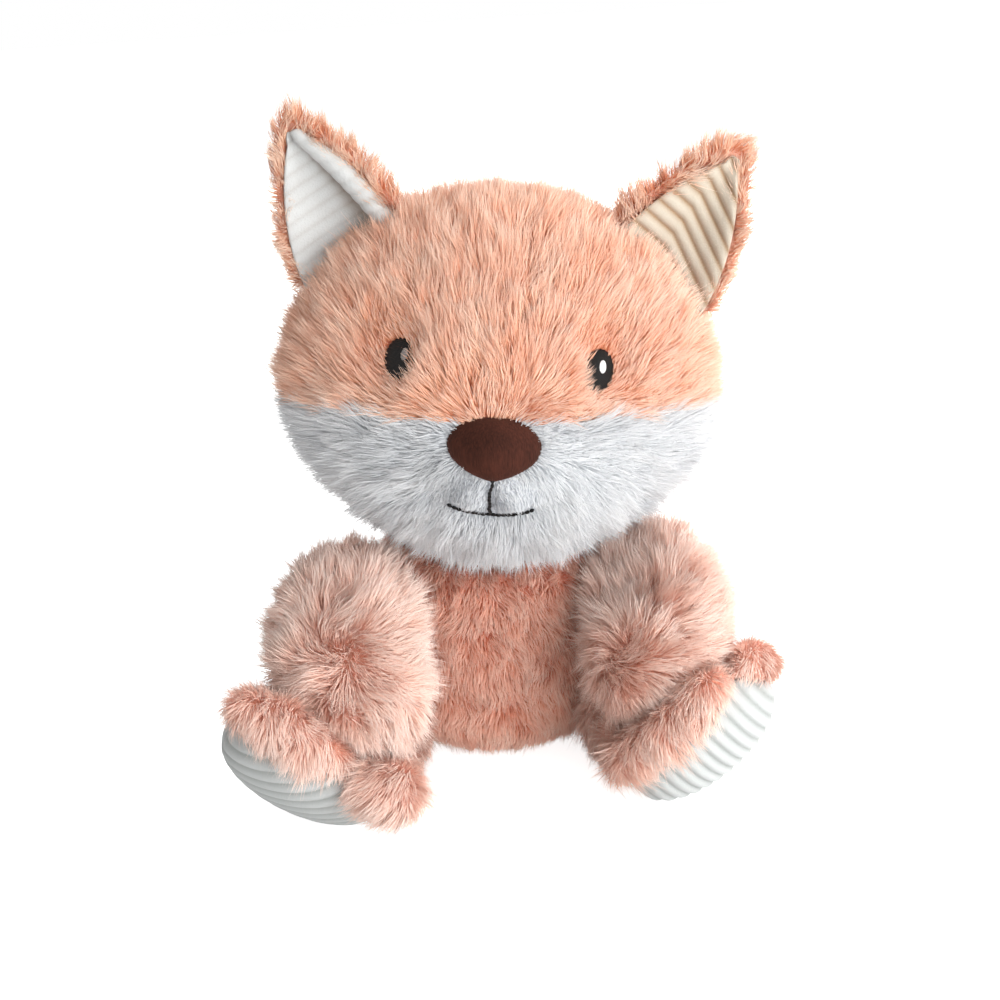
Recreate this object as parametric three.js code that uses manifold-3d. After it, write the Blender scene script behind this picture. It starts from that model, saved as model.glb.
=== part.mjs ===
// A seated plush fox, in millimetres, +Z up. It faces -Y, and its own left side is +X.
// The origin lies on the floor, in the middle of the seat.
// It is made of fur fabric skins around fillings, sewn to their neighbours along seams. Each form here is a
// swelling solid: the skin is the outer layer of the form, and the filling is what remains inside.

import * as THREE from "three";
import { mergeVertices } from "three/addons/utils/BufferGeometryUtils.js";
import Module from "manifold-3d";

const wasm = await Module();
wasm.setup();

// Driving dimensions
const gap = 0.3; // between two pieces that touch
const paw_gap = 1.5; // between a paw and the leg that it lies on
const skin = 3; // fur fabric, pile pressed flat
const seat_flat = 0.5; // how deep the floor flattens what rests on it
const overrun = 20; // how far a cutting solid reaches past what it cuts
const sweep_play = 0.9; // what a form drawn with few faces needs to clear one drawn with many

const head_half_width = 75;
const head_half_depth = 55;
const head_top_rise = 68; // from the widest level of the head up to its crown
const head_bottom_drop = 60; // and down to the chin
const head_level = 133; // height of the widest level above the floor
const muzzle_reach = 24; // how far the muzzle stands out from the head
const muzzle_half_width = 36;
const muzzle_half_height = 30;
const muzzle_drop = 6; // from the widest level down to the tip of the muzzle

const face_seam_drop = 2; // from the widest level down to the seam between crown and face, at the cheeks
const face_seam_rise = 11; // how much higher that seam runs at the nose
const face_seam_tilt = -3; // in degrees: the seam runs a little lower on the toy's right
const cheek_seam_setback = 17; // how far behind the middle of the head the face panel ends

const neck_level = 79; // height of the ball of filling that the head turns on
const neck_ball_radius = 15;

const torso_half_width = 50;
const torso_half_depth = 43;
const torso_height = 92;
const pellet_bag_height = 24; // a pouch of pellets that fills the seat to here

const ear_width = 47;
const ear_height = 53;
const ear_cup = 9; // how far the side edges of an ear curl forward
const ear_back_thickness = 5;
const ear_lining_thickness = 2;
const ear_hem = 3.5; // the fur's rim around the lining
const ear_seat = 6; // how far above the crown's form the ear's base starts

const corduroy_pitch = 4.4; // from one rib of the corduroy to the next
const corduroy_relief = 1;

const eye_half_span = 32;
const eye_rise = 22; // from the widest level of the head up to the eyes
const eye_half_width = 4.6;
const eye_half_height = 5.8;
const stitch_thickness = 1.2; // how far embroidery stands on the cloth
const glint_radius = 1.2;

const nose_half_width = 14.5;
const nose_half_height = 8.2;
const nose_thickness = 5;
const nose_rise = 7; // from the tip of the muzzle up to the middle of the nose
const thread_radius = 0.7;
const philtrum_length = 12;
const smile_half_width = 12;
const smile_sag = 4;

const arm_radius = 23;
const shoulder_half_span = 43.5;
const shoulder_level = 63;
const paw_half_span = 48;
const paw_reach = 82; // how far the end of the paw lies in front of the middle of the seat
const paw_level = 39;

const foot_half_length = 33;
const foot_half_width = 30;
const hip_half_span = 36;
const hip_level = 20;
const foot_half_span = 70;
const foot_reach = 65;
const sole_dome = 13; // how far the sole bulges
const sole_thickness = 2.4;
const sole_hem = 6; // the fur's rim around the sole

const tail_radius = 17;
const tail_root_level = 20;
const tail_tip_share = 0.62; // where along the tail the white tip starts

// The pose at rest, in degrees: plush limbs stay as they were laid
const head_turn = -7.5;
const head_tilt = 6.5;
const arm_turn = { left: -5, right: 0 };
const leg_turn = { left: -9, right: -3 };
const leg_twist = { left: 0, right: 12 }; // about the leg's own length

// How far each sewn joint gives, in degrees
const nod_range = [-10, 4];
const turn_range = [-20, 20];
const arm_range = [0, 50];
const leg_range = [-8, 12];
const ear_range = [-12, 12];
const tail_range = [-22, 22];

// Materials, with the colours of the photograph
const fur = (color) => new THREE.MeshStandardMaterial({ color, roughness: 0.95, metalness: 0 });
const peach_fur = fur(0xe9a583);
const white_fur = fur(0xe9ebef);
const corduroy = fur(0xe9e6dc);
const filling = fur(0xf4f3ef);
const velour = fur(0x54291c);
const thread = new THREE.MeshStandardMaterial({ color: 0x16120f, roughness: 0.6, metalness: 0 });
const pale_thread = new THREE.MeshStandardMaterial({ color: 0xe6e6e6, roughness: 0.5, metalness: 0 });

// Helpers for solids
const vector = (x, y, z) => new THREE.Vector3(x, y, z);
const smooth = (shares) => new THREE.SplineCurve(shares.map((share, i) => new THREE.Vector2(i, share)));
const at = (spline, t) => spline.getPoint(THREE.MathUtils.clamp(t, 0, 1)).y;

function solid(geometry, matrix) {
  const bare = geometry.clone();
  bare.deleteAttribute("normal");
  bare.deleteAttribute("uv");
  if (matrix) bare.applyMatrix4(matrix);
  const merged = mergeVertices(bare, 1e-4);
  return new wasm.Manifold(
    new wasm.Mesh({
      numProp: 3,
      vertProperties: merged.attributes.position.array,
      triVerts: new Uint32Array(merged.index.array),
    }),
  );
}

function geometry_of(made) {
  const mesh = made.getMesh();
  const geometry = new THREE.BufferGeometry();
  geometry.setAttribute("position", new THREE.Float32BufferAttribute(mesh.vertProperties, 3));
  geometry.setIndex(new THREE.Uint32BufferAttribute(mesh.triVerts, 1));
  const flat = geometry.toNonIndexed();
  flat.computeVertexNormals();
  return flat;
}

const join = (solids) => solids.reduce((sum, next) => sum.add(next));

// The largest piece of a solid that a cut has left with crumbs beside it
function whole(made) {
  return made.decompose().reduce((largest, next) => (next.volume() > largest.volume() ? next : largest));
}

// A closed form drawn from a unit sphere with its poles along Z: place() says where each direction goes.
function form(sides, rings, place) {
  const sphere = new THREE.SphereGeometry(1, sides, rings).rotateX(Math.PI / 2);
  const spots = sphere.attributes.position;
  for (let i = 0; i < spots.count; i++) {
    const spot = place(vector().fromBufferAttribute(spots, i).normalize());
    spots.setXYZ(i, spot.x, spot.y, spot.z);
  }
  return sphere;
}

// A stuffed limb: sections that swell and taper along a spine, with full round ends.
function limb({ spine, side, width, depth, fullness, sides, rings }, grow) {
  return form(sides, rings, (d) => {
    const along = Math.sign(d.z) * Math.pow(Math.abs(d.z), 2 / fullness);
    const share = Math.pow(1 - Math.pow(Math.abs(along), fullness), 1 / fullness);
    const t = (1 + along) / 2;
    const forward = spine.getTangent(t);
    const across = side.clone().addScaledVector(forward, -side.dot(forward)).normalize();
    const up = forward.clone().cross(across);
    const around = Math.atan2(d.y, d.x);
    return spine
      .getPoint(t)
      .addScaledVector(forward, along * grow)
      .addScaledVector(across, Math.cos(around) * share * (at(width, t) + grow))
      .addScaledVector(up, Math.sin(around) * share * (at(depth, t) + grow));
  });
}

// A sheet of cloth with a shape: its upper and lower faces are given over a grid, and its rim closes them.
function slab(columns, rows, upper, lower) {
  const spots = [];
  const faces = [];
  for (const face of [upper, lower])
    for (let j = 0; j <= rows; j++)
      for (let i = 0; i <= columns; i++) spots.push(...face(i / columns, j / rows).toArray());
  const index = (layer, i, j) => layer * (columns + 1) * (rows + 1) + j * (columns + 1) + i;
  const quad = (a, b, c, d) => faces.push(a, b, c, a, c, d);
  for (let j = 0; j < rows; j++)
    for (let i = 0; i < columns; i++) {
      quad(index(0, i, j), index(0, i + 1, j), index(0, i + 1, j + 1), index(0, i, j + 1));
      quad(index(1, i, j), index(1, i, j + 1), index(1, i + 1, j + 1), index(1, i + 1, j));
    }
  for (let i = 0; i < columns; i++) {
    quad(index(0, i, 0), index(1, i, 0), index(1, i + 1, 0), index(0, i + 1, 0));
    quad(index(0, i, rows), index(0, i + 1, rows), index(1, i + 1, rows), index(1, i, rows));
  }
  for (let j = 0; j < rows; j++) {
    quad(index(0, 0, j), index(0, 0, j + 1), index(1, 0, j + 1), index(1, 0, j));
    quad(index(0, columns, j), index(1, columns, j), index(1, columns, j + 1), index(0, columns, j + 1));
  }
  const geometry = new THREE.BufferGeometry();
  geometry.setAttribute("position", new THREE.Float32BufferAttribute(spots, 3));
  geometry.setIndex(faces);
  return geometry.toNonIndexed();
}

const ball = (radius, centre) => new THREE.SphereGeometry(radius, 16, 10).translate(...centre.toArray());

// Turns a copy of a geometry about a line through a point.
function turned(geometry, pivot, axis, degrees) {
  const matrix = new THREE.Matrix4()
    .makeTranslation(pivot)
    .multiply(new THREE.Matrix4().makeRotationAxis(axis, THREE.MathUtils.degToRad(degrees)))
    .multiply(new THREE.Matrix4().makeTranslation(pivot.clone().negate()));
  return geometry.clone().applyMatrix4(matrix);
}

// What a turning piece sweeps through, from its least to its greatest angle.
function swept(geometry, pivot, axis, angles) {
  return join(angles.map((angle) => solid(turned(geometry, pivot, axis, angle))));
}

function steps(low, high, count) {
  return Array.from({ length: count }, (_, i) => low + ((high - low) * i) / (count - 1));
}

const part = new THREE.Group();
function add(name, made, material) {
  const mesh = new THREE.Mesh(geometry_of(made), material);
  mesh.name = name;
  part.add(mesh);
}

const x_axis = vector(1, 0, 0);
const y_axis = vector(0, 1, 0);
const z_axis = vector(0, 0, 1);
const mirrored = (point, hand) => vector(point.x * hand, point.y, point.z);
const hands = { left: 1, right: -1 };
const far = 20 * overrun;

// A cutting block that fills the side of a plane that its normal points to.
function beyond(point, normal) {
  const block = new THREE.BoxGeometry(far, far, far).translate(0, 0, far / 2);
  block.applyQuaternion(new THREE.Quaternion().setFromUnitVectors(z_axis, normal.clone().normalize()));
  return solid(block.translate(...point.toArray()));
}
const floor = beyond(vector(0, 0, 0), z_axis.clone().negate());

// Neck: a ball of filling on which the head turns about Z and nods about its own X
const neck = vector(0, 0, neck_level);
const neck_ball = (grow) => solid(ball(neck_ball_radius + grow, neck));
const neck_socket = neck_ball(2 * gap);

const head_pose = new THREE.Matrix4()
  .makeTranslation(neck)
  .multiply(new THREE.Matrix4().makeRotationZ(THREE.MathUtils.degToRad(head_turn)))
  .multiply(new THREE.Matrix4().makeRotationY(THREE.MathUtils.degToRad(head_tilt)))
  .multiply(new THREE.Matrix4().makeTranslation(neck.clone().negate()));
const in_head = (point) => point.clone().applyMatrix4(head_pose);
const nod_axis = x_axis.clone().transformDirection(head_pose);

// Head form: an oval, wide at the cheeks, that tapers to the chin and carries the muzzle in front
const chin_taper_share = 0.55;
const muzzle_start_share = 0.5; // how far round from the face the muzzle begins

function head_spot(d, grow) {
  const round = Math.sqrt(Math.max(0, 1 - d.z * d.z));
  const taper = d.z < 0 ? Math.pow(round, chin_taper_share) : 1;
  const spot = vector(
    d.x * taper * (head_half_width + grow),
    d.y * (head_half_depth + grow),
    d.z * ((d.z < 0 ? head_bottom_drop : head_top_rise) + grow),
  );
  const drop = (spot.z + muzzle_drop) / muzzle_half_height;
  const off = spot.x / muzzle_half_width;
  const front = THREE.MathUtils.clamp(-d.y / muzzle_start_share, 0, 1);
  spot.y -= muzzle_reach * front * Math.exp(-drop * drop - off * off);
  return spot.add(vector(0, 0, head_level));
}
const head_form = (grow, sides = 28, rings = 18) => form(sides, rings, (d) => head_spot(d, grow));

// The place on the front of the head's form that lies a given way to the side and up from its widest level.
function on_face(x, rise, grow) {
  const up = rise / ((rise < 0 ? head_bottom_drop : head_top_rise) + grow);
  const taper = rise < 0 ? Math.pow(Math.sqrt(1 - up * up), chin_taper_share) : 1;
  const across = x / (taper * (head_half_width + grow));
  return head_spot(vector(across, -Math.sqrt(Math.max(0, 1 - up * up - across * across)), up), grow);
}

const head_outer = (grow, sides, rings) => solid(head_form(grow, sides, rings), head_pose);
function head_sweep(grow) {
  const coarse = head_form(grow + sweep_play, 20, 12).applyMatrix4(head_pose);
  const nods = geometry_of(swept(coarse, neck, nod_axis, steps(...nod_range, 3)));
  return swept(nods, neck, z_axis, steps(...turn_range, 5));
}
const head_swept = head_sweep(gap);
const lowest = (geometry) => new THREE.Box3().setFromBufferAttribute(geometry.attributes.position).min.z;

// Torso: a pear that sits on the floor, with a bag of pellets in the seat
const torso_spine = new THREE.CatmullRomCurve3([
  vector(0, 0, -seat_flat),
  vector(0, 0, torso_height / 2),
  vector(0, torso_half_depth / 8, torso_height),
]);
const fullness_shares = { torso: 3, arm: 2.6, leg: 3, tail: 2.4 }; // 2 is an ellipse, more is fuller
const torso_width_shares = [0.98, 1.02, 0.98, 0.9, 0.8];
const torso_depth_shares = [0.98, 1.02, 0.96, 0.86, 0.74];
const torso_form = (grow, sides = 24, rings = 14) =>
  limb(
    {
      spine: torso_spine,
      side: x_axis,
      width: smooth(torso_width_shares.map((share) => share * torso_half_width)),
      depth: smooth(torso_depth_shares.map((share) => share * torso_half_depth)),
      fullness: fullness_shares.torso,
      sides,
      rings,
    },
    grow,
  );
const torso_filling = solid(torso_form(-skin - gap, 18, 10));
const past_pellets = (shift, normal) => beyond(vector(0, 0, skin + pellet_bag_height + shift), normal);

add(
  "torso_fur",
  solid(torso_form(0))
    .subtract(solid(torso_form(-skin, 18, 10)))
    .subtract(head_swept)
    .subtract(neck_socket)
    .subtract(floor),
  peach_fur,
);
add(
  "torso_stuffing",
  torso_filling
    .subtract(head_swept)
    .subtract(neck_socket)
    .subtract(past_pellets(gap / 2, z_axis.clone().negate())),
  filling,
);
add("seat_pellet_bag", torso_filling.subtract(past_pellets(-gap / 2, z_axis)), filling);
add("neck_stuffing", neck_ball(0), filling);

// Head skins: crown, face and back are the outer layer of the form, parted along the seams
const seam_front = vector(0, -head_half_depth - muzzle_reach, head_level - face_seam_drop + face_seam_rise);
const seam_side = vector(0, 0, head_level - face_seam_drop);
const seam_up = x_axis
  .clone()
  .cross(seam_side.clone().sub(seam_front))
  .applyAxisAngle(y_axis, THREE.MathUtils.degToRad(face_seam_tilt))
  .normalize();
const head_side = (point, normal, shift) => {
  const outward = normal.clone().transformDirection(head_pose);
  return beyond(in_head(point).addScaledVector(outward, shift), outward);
};
const above_seam = head_side(seam_side, seam_up, gap / 2);
const below_seam = head_side(seam_side, seam_up.clone().negate(), gap / 2);
const cheek_seam = vector(0, cheek_seam_setback, head_level);
const before_cheek_seam = head_side(cheek_seam, y_axis.clone().negate(), gap / 2);
const behind_cheek_seam = head_side(cheek_seam, y_axis, gap / 2);

const head_skin = head_outer(0).subtract(head_outer(-skin, 20, 12)).subtract(neck_socket);
add("crown_fur", head_skin.intersect(above_seam), peach_fur);
add("face_fur", head_skin.intersect(below_seam).intersect(before_cheek_seam), white_fur);
add("head_back_fur", head_skin.intersect(below_seam).intersect(behind_cheek_seam), peach_fur);
add("head_stuffing", head_outer(-skin - gap, 20, 12).subtract(neck_socket), filling);

// What is sewn on the face follows its form: a patch is an oval of cloth or stitches, thickest in its middle
const patch_fall_share = 0.7; // how much thinner a patch is at its rim
function face_patch({ x, rise, half_width, half_height, thickness, taper_share }, columns, rows) {
  const place = (p, q, grow) => {
    const a = 2 * p - 1;
    const b = 2 * q - 1;
    const u = a * Math.sqrt(1 - (b * b) / 2);
    const v = b * Math.sqrt(1 - (a * a) / 2);
    const bulge = grow * (1 - patch_fall_share * (u * u + v * v));
    const narrowing = 1 - taper_share * (1 - v);
    return on_face(x + u * half_width * narrowing, rise + v * half_height, gap + bulge);
  };
  return slab(columns, rows, (p, q) => place(p, q, thickness), (p, q) => place(p, q, 0));
}

for (const [side, hand] of Object.entries(hands)) {
  const eye = {
    x: hand * eye_half_span,
    rise: eye_rise,
    half_width: eye_half_width,
    half_height: eye_half_height,
    thickness: stitch_thickness,
    taper_share: 0,
  };
  const glint = {
    x: hand * eye_half_span + eye_half_width / 4,
    rise: eye_rise + eye_half_height / 4,
    half_width: glint_radius,
    half_height: 2 * glint_radius,
    thickness: stitch_thickness,
    taper_share: 0,
  };
  const lift = (patch) => patch.translate(0, -stitch_thickness - gap, 0);
  add(`eye_${side}`, solid(face_patch(eye, 4, 6), head_pose), thread);
  add(`eye_glint_${side}`, solid(lift(face_patch(glint, 3, 4)), head_pose), pale_thread);
}

const nose = {
  x: 0,
  rise: nose_rise - muzzle_drop,
  half_width: nose_half_width,
  half_height: nose_half_height,
  thickness: nose_thickness,
  taper_share: 0.24,
};
add("nose_patch", solid(face_patch(nose, 8, 6), head_pose), velour);

// A thread laid on the face through a row of places
function stitch_line(places) {
  const section = new THREE.Shape().absarc(0, 0, thread_radius, 0, 2 * Math.PI);
  const path = new THREE.CatmullRomCurve3(places.map(([x, rise]) => on_face(x, rise, gap + thread_radius)));
  const settings = { steps: 3 * places.length, curveSegments: 3, extrudePath: path };
  return solid(new THREE.ExtrudeGeometry(section, settings), head_pose);
}
const nose_foot = nose.rise - nose_half_height - thread_radius - gap;
const smile_middle = nose_foot - philtrum_length - 2 * thread_radius - gap;
const philtrum_shares = [0, 0.5, 1];
const smile_shares = [-1, -0.6, -0.25, 0, 0.25, 0.6, 1];
add("philtrum_stitch", stitch_line(philtrum_shares.map((t) => [0, nose_foot - t * philtrum_length])), thread);
add(
  "smile_stitch",
  stitch_line(smile_shares.map((t) => [t * smile_half_width, smile_middle + t * t * smile_sag])),
  thread,
);

// Ears: a leaf of fur behind and a leaf of ribbed corduroy in front, cupped forwards
const ear_angle = 30; // degrees from upright
const ear_side_share = 0.68; // where the ear stands, as a share of the head's half width
const ear_belly_share = 1.7; // how full its sides are, down near the head
const ear_side_curve_share = 0.8; // and how straight they run up to the tip
const ear_tip_share = 0.09; // the width left at its blunt tip
const ear_edge_share = 0.6; // how much thinner the ear's back is at its edges
const ear_base = vector(
  head_half_width * ear_side_share,
  0,
  head_level + head_top_rise * Math.sqrt(1 - ear_side_share ** 2) - ear_seat,
);
const ear_up = z_axis.clone().applyAxisAngle(y_axis, THREE.MathUtils.degToRad(ear_angle));
const ear_across = ear_up.clone().cross(y_axis).normalize();
const ear_rows = Math.round(ear_height / corduroy_pitch) * 2;

function ear_spot(hand, u, v, forward, hem) {
  const side = Math.pow(1 - Math.pow(v, ear_belly_share), ear_side_curve_share);
  const leaf = side * (1 - ear_tip_share) + ear_tip_share;
  const half = (ear_width / 2) * leaf - hem;
  const spot = ear_base
    .clone()
    .addScaledVector(ear_across, u * half)
    .addScaledVector(ear_up, v * (ear_height - hem))
    .addScaledVector(y_axis, -forward - ear_cup * u * u * leaf);
  return mirrored(spot, hand);
}
const ridge = (v, rows) => (Math.round(v * rows) % 2 ? corduroy_relief : 0);

for (const [side, hand] of Object.entries(hands)) {
  const flip = (p) => (2 * p - 1) * -hand;
  const behind = (u) => gap / 2 + ear_back_thickness * (1 - ear_edge_share * u * u);
  const back = slab(
    6,
    7,
    (p, q) => ear_spot(hand, flip(p), q, -gap / 2, 0),
    (p, q) => ear_spot(hand, flip(p), q, -behind(flip(p)), 0),
  );
  const lining = slab(
    4,
    ear_rows,
    (p, q) => ear_spot(hand, flip(p), q, gap / 2 + ear_lining_thickness + ridge(q, ear_rows), ear_hem),
    (p, q) => ear_spot(hand, flip(p), q, gap / 2, ear_hem),
  );
  const base = in_head(mirrored(ear_base, hand));
  const hinge = mirrored(ear_across, hand).transformDirection(head_pose);
  const head_near_ear = head_form(gap).applyMatrix4(head_pose);
  const head_past_ear = swept(head_near_ear, base, hinge, steps(...ear_range, 3));
  add(`ear_back_${side}`, solid(back, head_pose).subtract(head_past_ear), peach_fur);
  add(`ear_lining_${side}`, solid(lining, head_pose).subtract(head_past_ear), corduroy);
}

// Arms: from the shoulder forwards to the paws, which lie on the legs
const shoulder = vector(shoulder_half_span, -torso_half_depth / 8, shoulder_level);
const elbow_out_share = 0.36; // how the arm bows outwards at the elbow
const elbow_along_share = 0.48;
const elbow_low_share = 0.08;
const elbow = vector(
  paw_half_span + arm_radius * elbow_out_share,
  -paw_reach * elbow_along_share,
  shoulder_level - arm_radius * elbow_low_share,
);
const paw = vector(paw_half_span, -paw_reach, paw_level);
const arm_axis = vector(-1, 0, 0.48).normalize();
const raise_axis = (hand) => vector(arm_axis.x, arm_axis.y, arm_axis.z * hand);

const arm_width_shares = [0.88, 1, 1.01, 1.06, 1];
function arm_form(side, grow, sides = 20, rings = 12) {
  const hand = hands[side];
  const points = [shoulder, elbow, paw].map((point) => mirrored(point, hand));
  const arm = {
    spine: new THREE.CatmullRomCurve3(points),
    side: x_axis,
    width: smooth(arm_width_shares.map((share) => share * arm_radius)),
    depth: smooth(arm_width_shares.map((share) => share * arm_radius)),
    fullness: fullness_shares.arm,
    sides,
    rings,
  };
  return turned(limb(arm, grow), points[0], z_axis, arm_turn[side]);
}

const opposite = (range, count) => steps(-range[1], -range[0], count);
for (const [side, hand] of Object.entries(hands)) {
  const pivot = mirrored(shoulder, hand);
  const lowering = opposite(arm_range, 6);
  const torso_past_arm = swept(torso_form(gap), pivot, raise_axis(hand), lowering);
  const head_past_arm = (grow) => swept(geometry_of(head_sweep(grow)), pivot, raise_axis(hand), lowering);
  const within = (grow) => solid(arm_form(side, grow, 14, 8)).subtract(head_past_arm(gap - grow));
  const outside = solid(arm_form(side, 0)).subtract(head_past_arm(gap));
  add(`arm_fur_${side}`, outside.subtract(within(-skin)).subtract(torso_past_arm), peach_fur);
  add(`arm_stuffing_${side}`, within(-skin - gap).subtract(torso_past_arm), filling);
}

// Legs: from the hip outwards and forwards to a foot, which the domed corduroy sole closes
const hip = vector(hip_half_span, -torso_half_depth / 4, hip_level);
const sole_centre = vector(foot_half_span, -foot_reach, foot_half_width);
const sole_normal = vector(0.55, -0.6, -0.58).normalize();
const toes_up = vector(0.68, -0.05, 0.7);
const sole_long = toes_up.addScaledVector(sole_normal, -toes_up.dot(sole_normal)).normalize();
const shin_level_share = 0.72;
const foot_end_share = 0.8; // how far the foot's form would run on past the sole that closes it
const leg_width_shares = [0.6, 0.72, 0.86, 1.02, 1.04];
const leg_depth_shares = [0.66, 0.78, 0.92, 1.04, 1];

// How a leg was laid down: twisted about its own length, then turned at the hip
function laid(geometry, side) {
  const pivot = mirrored(hip, hands[side]);
  const along = mirrored(sole_centre, hands[side]).sub(pivot).normalize();
  return turned(turned(geometry, pivot, along, leg_twist[side]), pivot, z_axis, leg_turn[side]);
}
function laid_direction(direction, side) {
  const along = mirrored(sole_centre, hands[side]).sub(mirrored(hip, hands[side])).normalize();
  return direction
    .applyAxisAngle(along, THREE.MathUtils.degToRad(leg_twist[side]))
    .applyAxisAngle(z_axis, THREE.MathUtils.degToRad(leg_turn[side]));
}

function leg_form(side, grow, sides = 20, rings = 14) {
  const hand = hands[side];
  const shin = hip.clone().lerp(sole_centre, 0.5).setZ(foot_half_width * shin_level_share);
  const end = sole_centre.clone().addScaledVector(sole_normal, foot_half_width * foot_end_share);
  const points = [hip, shin, sole_centre, end].map((point) => mirrored(point, hand));
  const leg = {
    spine: new THREE.CatmullRomCurve3(points),
    side: mirrored(sole_long, hand),
    width: smooth(leg_width_shares.map((share) => share * foot_half_length)),
    depth: smooth(leg_depth_shares.map((share) => share * foot_half_width)),
    fullness: fullness_shares.leg,
    sides,
    rings,
  };
  return laid(limb(leg, grow), side);
}

// The sole is an oval cushion of corduroy, domed, with its ribs across the foot
const sole_end_share = 0.97; // its ends are cut a little blunt
const sole_rows = Math.round((2 * foot_half_length) / corduroy_pitch) * 2;
function sole_pad(side) {
  const hand = hands[side];
  const across = sole_normal.clone().cross(sole_long);
  const half_length = foot_half_length - sole_hem / 2;
  const half_width = foot_half_width - sole_hem;
  const place = (p, q, height) => {
    const a = (2 * q - 1) * sole_end_share;
    const b = (2 * p - 1) * -hand * Math.sqrt(1 - a * a);
    const spot = sole_centre
      .clone()
      .addScaledVector(sole_long, a * half_length)
      .addScaledVector(across, b * half_width)
      .addScaledVector(sole_normal, gap / 2 + height(a, b, q));
    return mirrored(spot, hand);
  };
  const swell = (a, b) => sole_dome * Math.sqrt(Math.max(0, 1 - a * a - b * b));
  const dome = (a, b, q) => sole_thickness + swell(a, b) + ridge(q, sole_rows);
  const pad = slab(4, sole_rows, (p, q) => place(p, q, dome), (p, q) => place(p, q, () => 0));
  return laid(pad, side);
}
sole_centre.z -= lowest(sole_pad("left")) + seat_flat; // lets the foot down on the floor

for (const [side, hand] of Object.entries(hands)) {
  const pivot = mirrored(hip, hand);
  const splay_axis = z_axis.clone().multiplyScalar(hand);
  const torso_past_leg = swept(torso_form(gap), pivot, splay_axis, opposite(leg_range, 3));
  const arm_past_leg = (grow) => {
    const arm = arm_form(side, grow);
    const lifting = swept(arm, mirrored(shoulder, hand), raise_axis(hand), steps(0, arm_range[1] / 4, 2));
    return swept(geometry_of(lifting), pivot, splay_axis, opposite(leg_range, 3));
  };
  const facing = laid_direction(mirrored(sole_normal, hand), side);
  const centre = laid_direction(mirrored(sole_centre, hand).sub(pivot), side).add(pivot);
  const past_sole = beyond(centre.addScaledVector(facing, -gap / 2), facing);
  const clear = (made) => whole(made.subtract(torso_past_leg).subtract(past_sole).subtract(floor));
  const within = (grow) => solid(leg_form(side, grow, 14, 10)).subtract(arm_past_leg(paw_gap - grow));
  const outside = solid(leg_form(side, 0)).subtract(arm_past_leg(paw_gap));
  add(`leg_fur_${side}`, clear(outside.subtract(within(-skin))), peach_fur);
  add(`leg_stuffing_${side}`, clear(within(-skin - gap)), filling);
  add(`sole_pad_${side}`, solid(sole_pad(side)).subtract(floor), corduroy);
}

// Tail: it leaves the back of the seat, lies on the floor and turns up to a white tip
const tail_root = vector(0, torso_half_depth - tail_radius / 2, tail_root_level);
const tail_bend_share = 1.6; // of its radius: how far behind the torso it bends
const tail_end_share = 2.3; // and ends
const tail_turn_up_share = 3.6; // and how high its end turns up
const tail_bend = vector(0, torso_half_depth + tail_radius * tail_bend_share, tail_radius - seat_flat);
const tail_end = vector(0, torso_half_depth + tail_radius * tail_end_share, tail_radius * tail_turn_up_share);
const tail_shares = [0.6, 0.85, 1.05, 1, 0.5];
const tail_form = (grow, sides = 16, rings = 12) =>
  limb(
    {
      spine: new THREE.CatmullRomCurve3([tail_root, tail_bend, tail_end]),
      side: x_axis,
      width: smooth(tail_shares.map((share) => share * tail_radius)),
      depth: smooth(tail_shares.map((share) => share * tail_radius)),
      fullness: fullness_shares.tail,
      sides,
      rings,
    },
    grow,
  );
const tail_seam = tail_bend.clone().lerp(tail_end, tail_tip_share);
const tail_seam_normal = tail_end.clone().sub(tail_bend).normalize();
const torso_past_tail = swept(torso_form(gap), tail_root, z_axis, opposite(tail_range, 5));
const clear_tail = (made) => made.subtract(torso_past_tail).subtract(floor);
const tail_skin = solid(tail_form(0)).subtract(solid(tail_form(-skin, 12, 8)));
const tail_part = (direction) => {
  const spot = tail_seam.clone().addScaledVector(tail_seam_normal, (direction * gap) / 2);
  return beyond(spot, tail_seam_normal.clone().multiplyScalar(direction));
};
add("tail_fur", clear_tail(tail_skin.intersect(tail_part(-1))), peach_fur);
add("tail_tip_fur", clear_tail(tail_skin.intersect(tail_part(1))), white_fur);
add("tail_stuffing", clear_tail(solid(tail_form(-skin - gap, 12, 8))), filling);

export default part;
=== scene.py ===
# %% [markdown]
# A plush fox, seated, dressed for a studio picture. This file gives them their looks: stuffed cloth forms,
# a long pile of fibres, ribbed corduroy, velour and embroidery. The noise has a fixed seed, so each run
# gives the same fox.

# %% The solids of the fox
import math

import bmesh
import bpy
import numpy as np
from mathutils import Matrix, Vector, noise
from mathutils.bvhtree import BVHTree


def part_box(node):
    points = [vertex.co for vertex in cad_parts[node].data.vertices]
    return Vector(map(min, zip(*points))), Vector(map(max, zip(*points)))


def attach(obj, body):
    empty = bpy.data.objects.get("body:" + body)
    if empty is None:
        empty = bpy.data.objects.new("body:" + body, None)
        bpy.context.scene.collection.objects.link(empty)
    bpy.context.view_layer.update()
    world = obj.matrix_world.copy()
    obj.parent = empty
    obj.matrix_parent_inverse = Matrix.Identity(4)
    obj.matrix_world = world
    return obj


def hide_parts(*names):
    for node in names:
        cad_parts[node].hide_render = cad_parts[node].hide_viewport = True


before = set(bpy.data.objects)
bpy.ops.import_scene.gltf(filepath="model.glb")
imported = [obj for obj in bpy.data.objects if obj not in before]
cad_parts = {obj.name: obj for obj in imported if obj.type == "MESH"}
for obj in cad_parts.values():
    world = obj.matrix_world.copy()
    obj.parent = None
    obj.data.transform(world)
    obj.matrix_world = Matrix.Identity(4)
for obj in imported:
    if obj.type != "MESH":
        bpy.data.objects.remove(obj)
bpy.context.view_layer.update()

MM = 0.001
noise.seed_set(1)
hands = {"left": 1, "right": -1}

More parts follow.
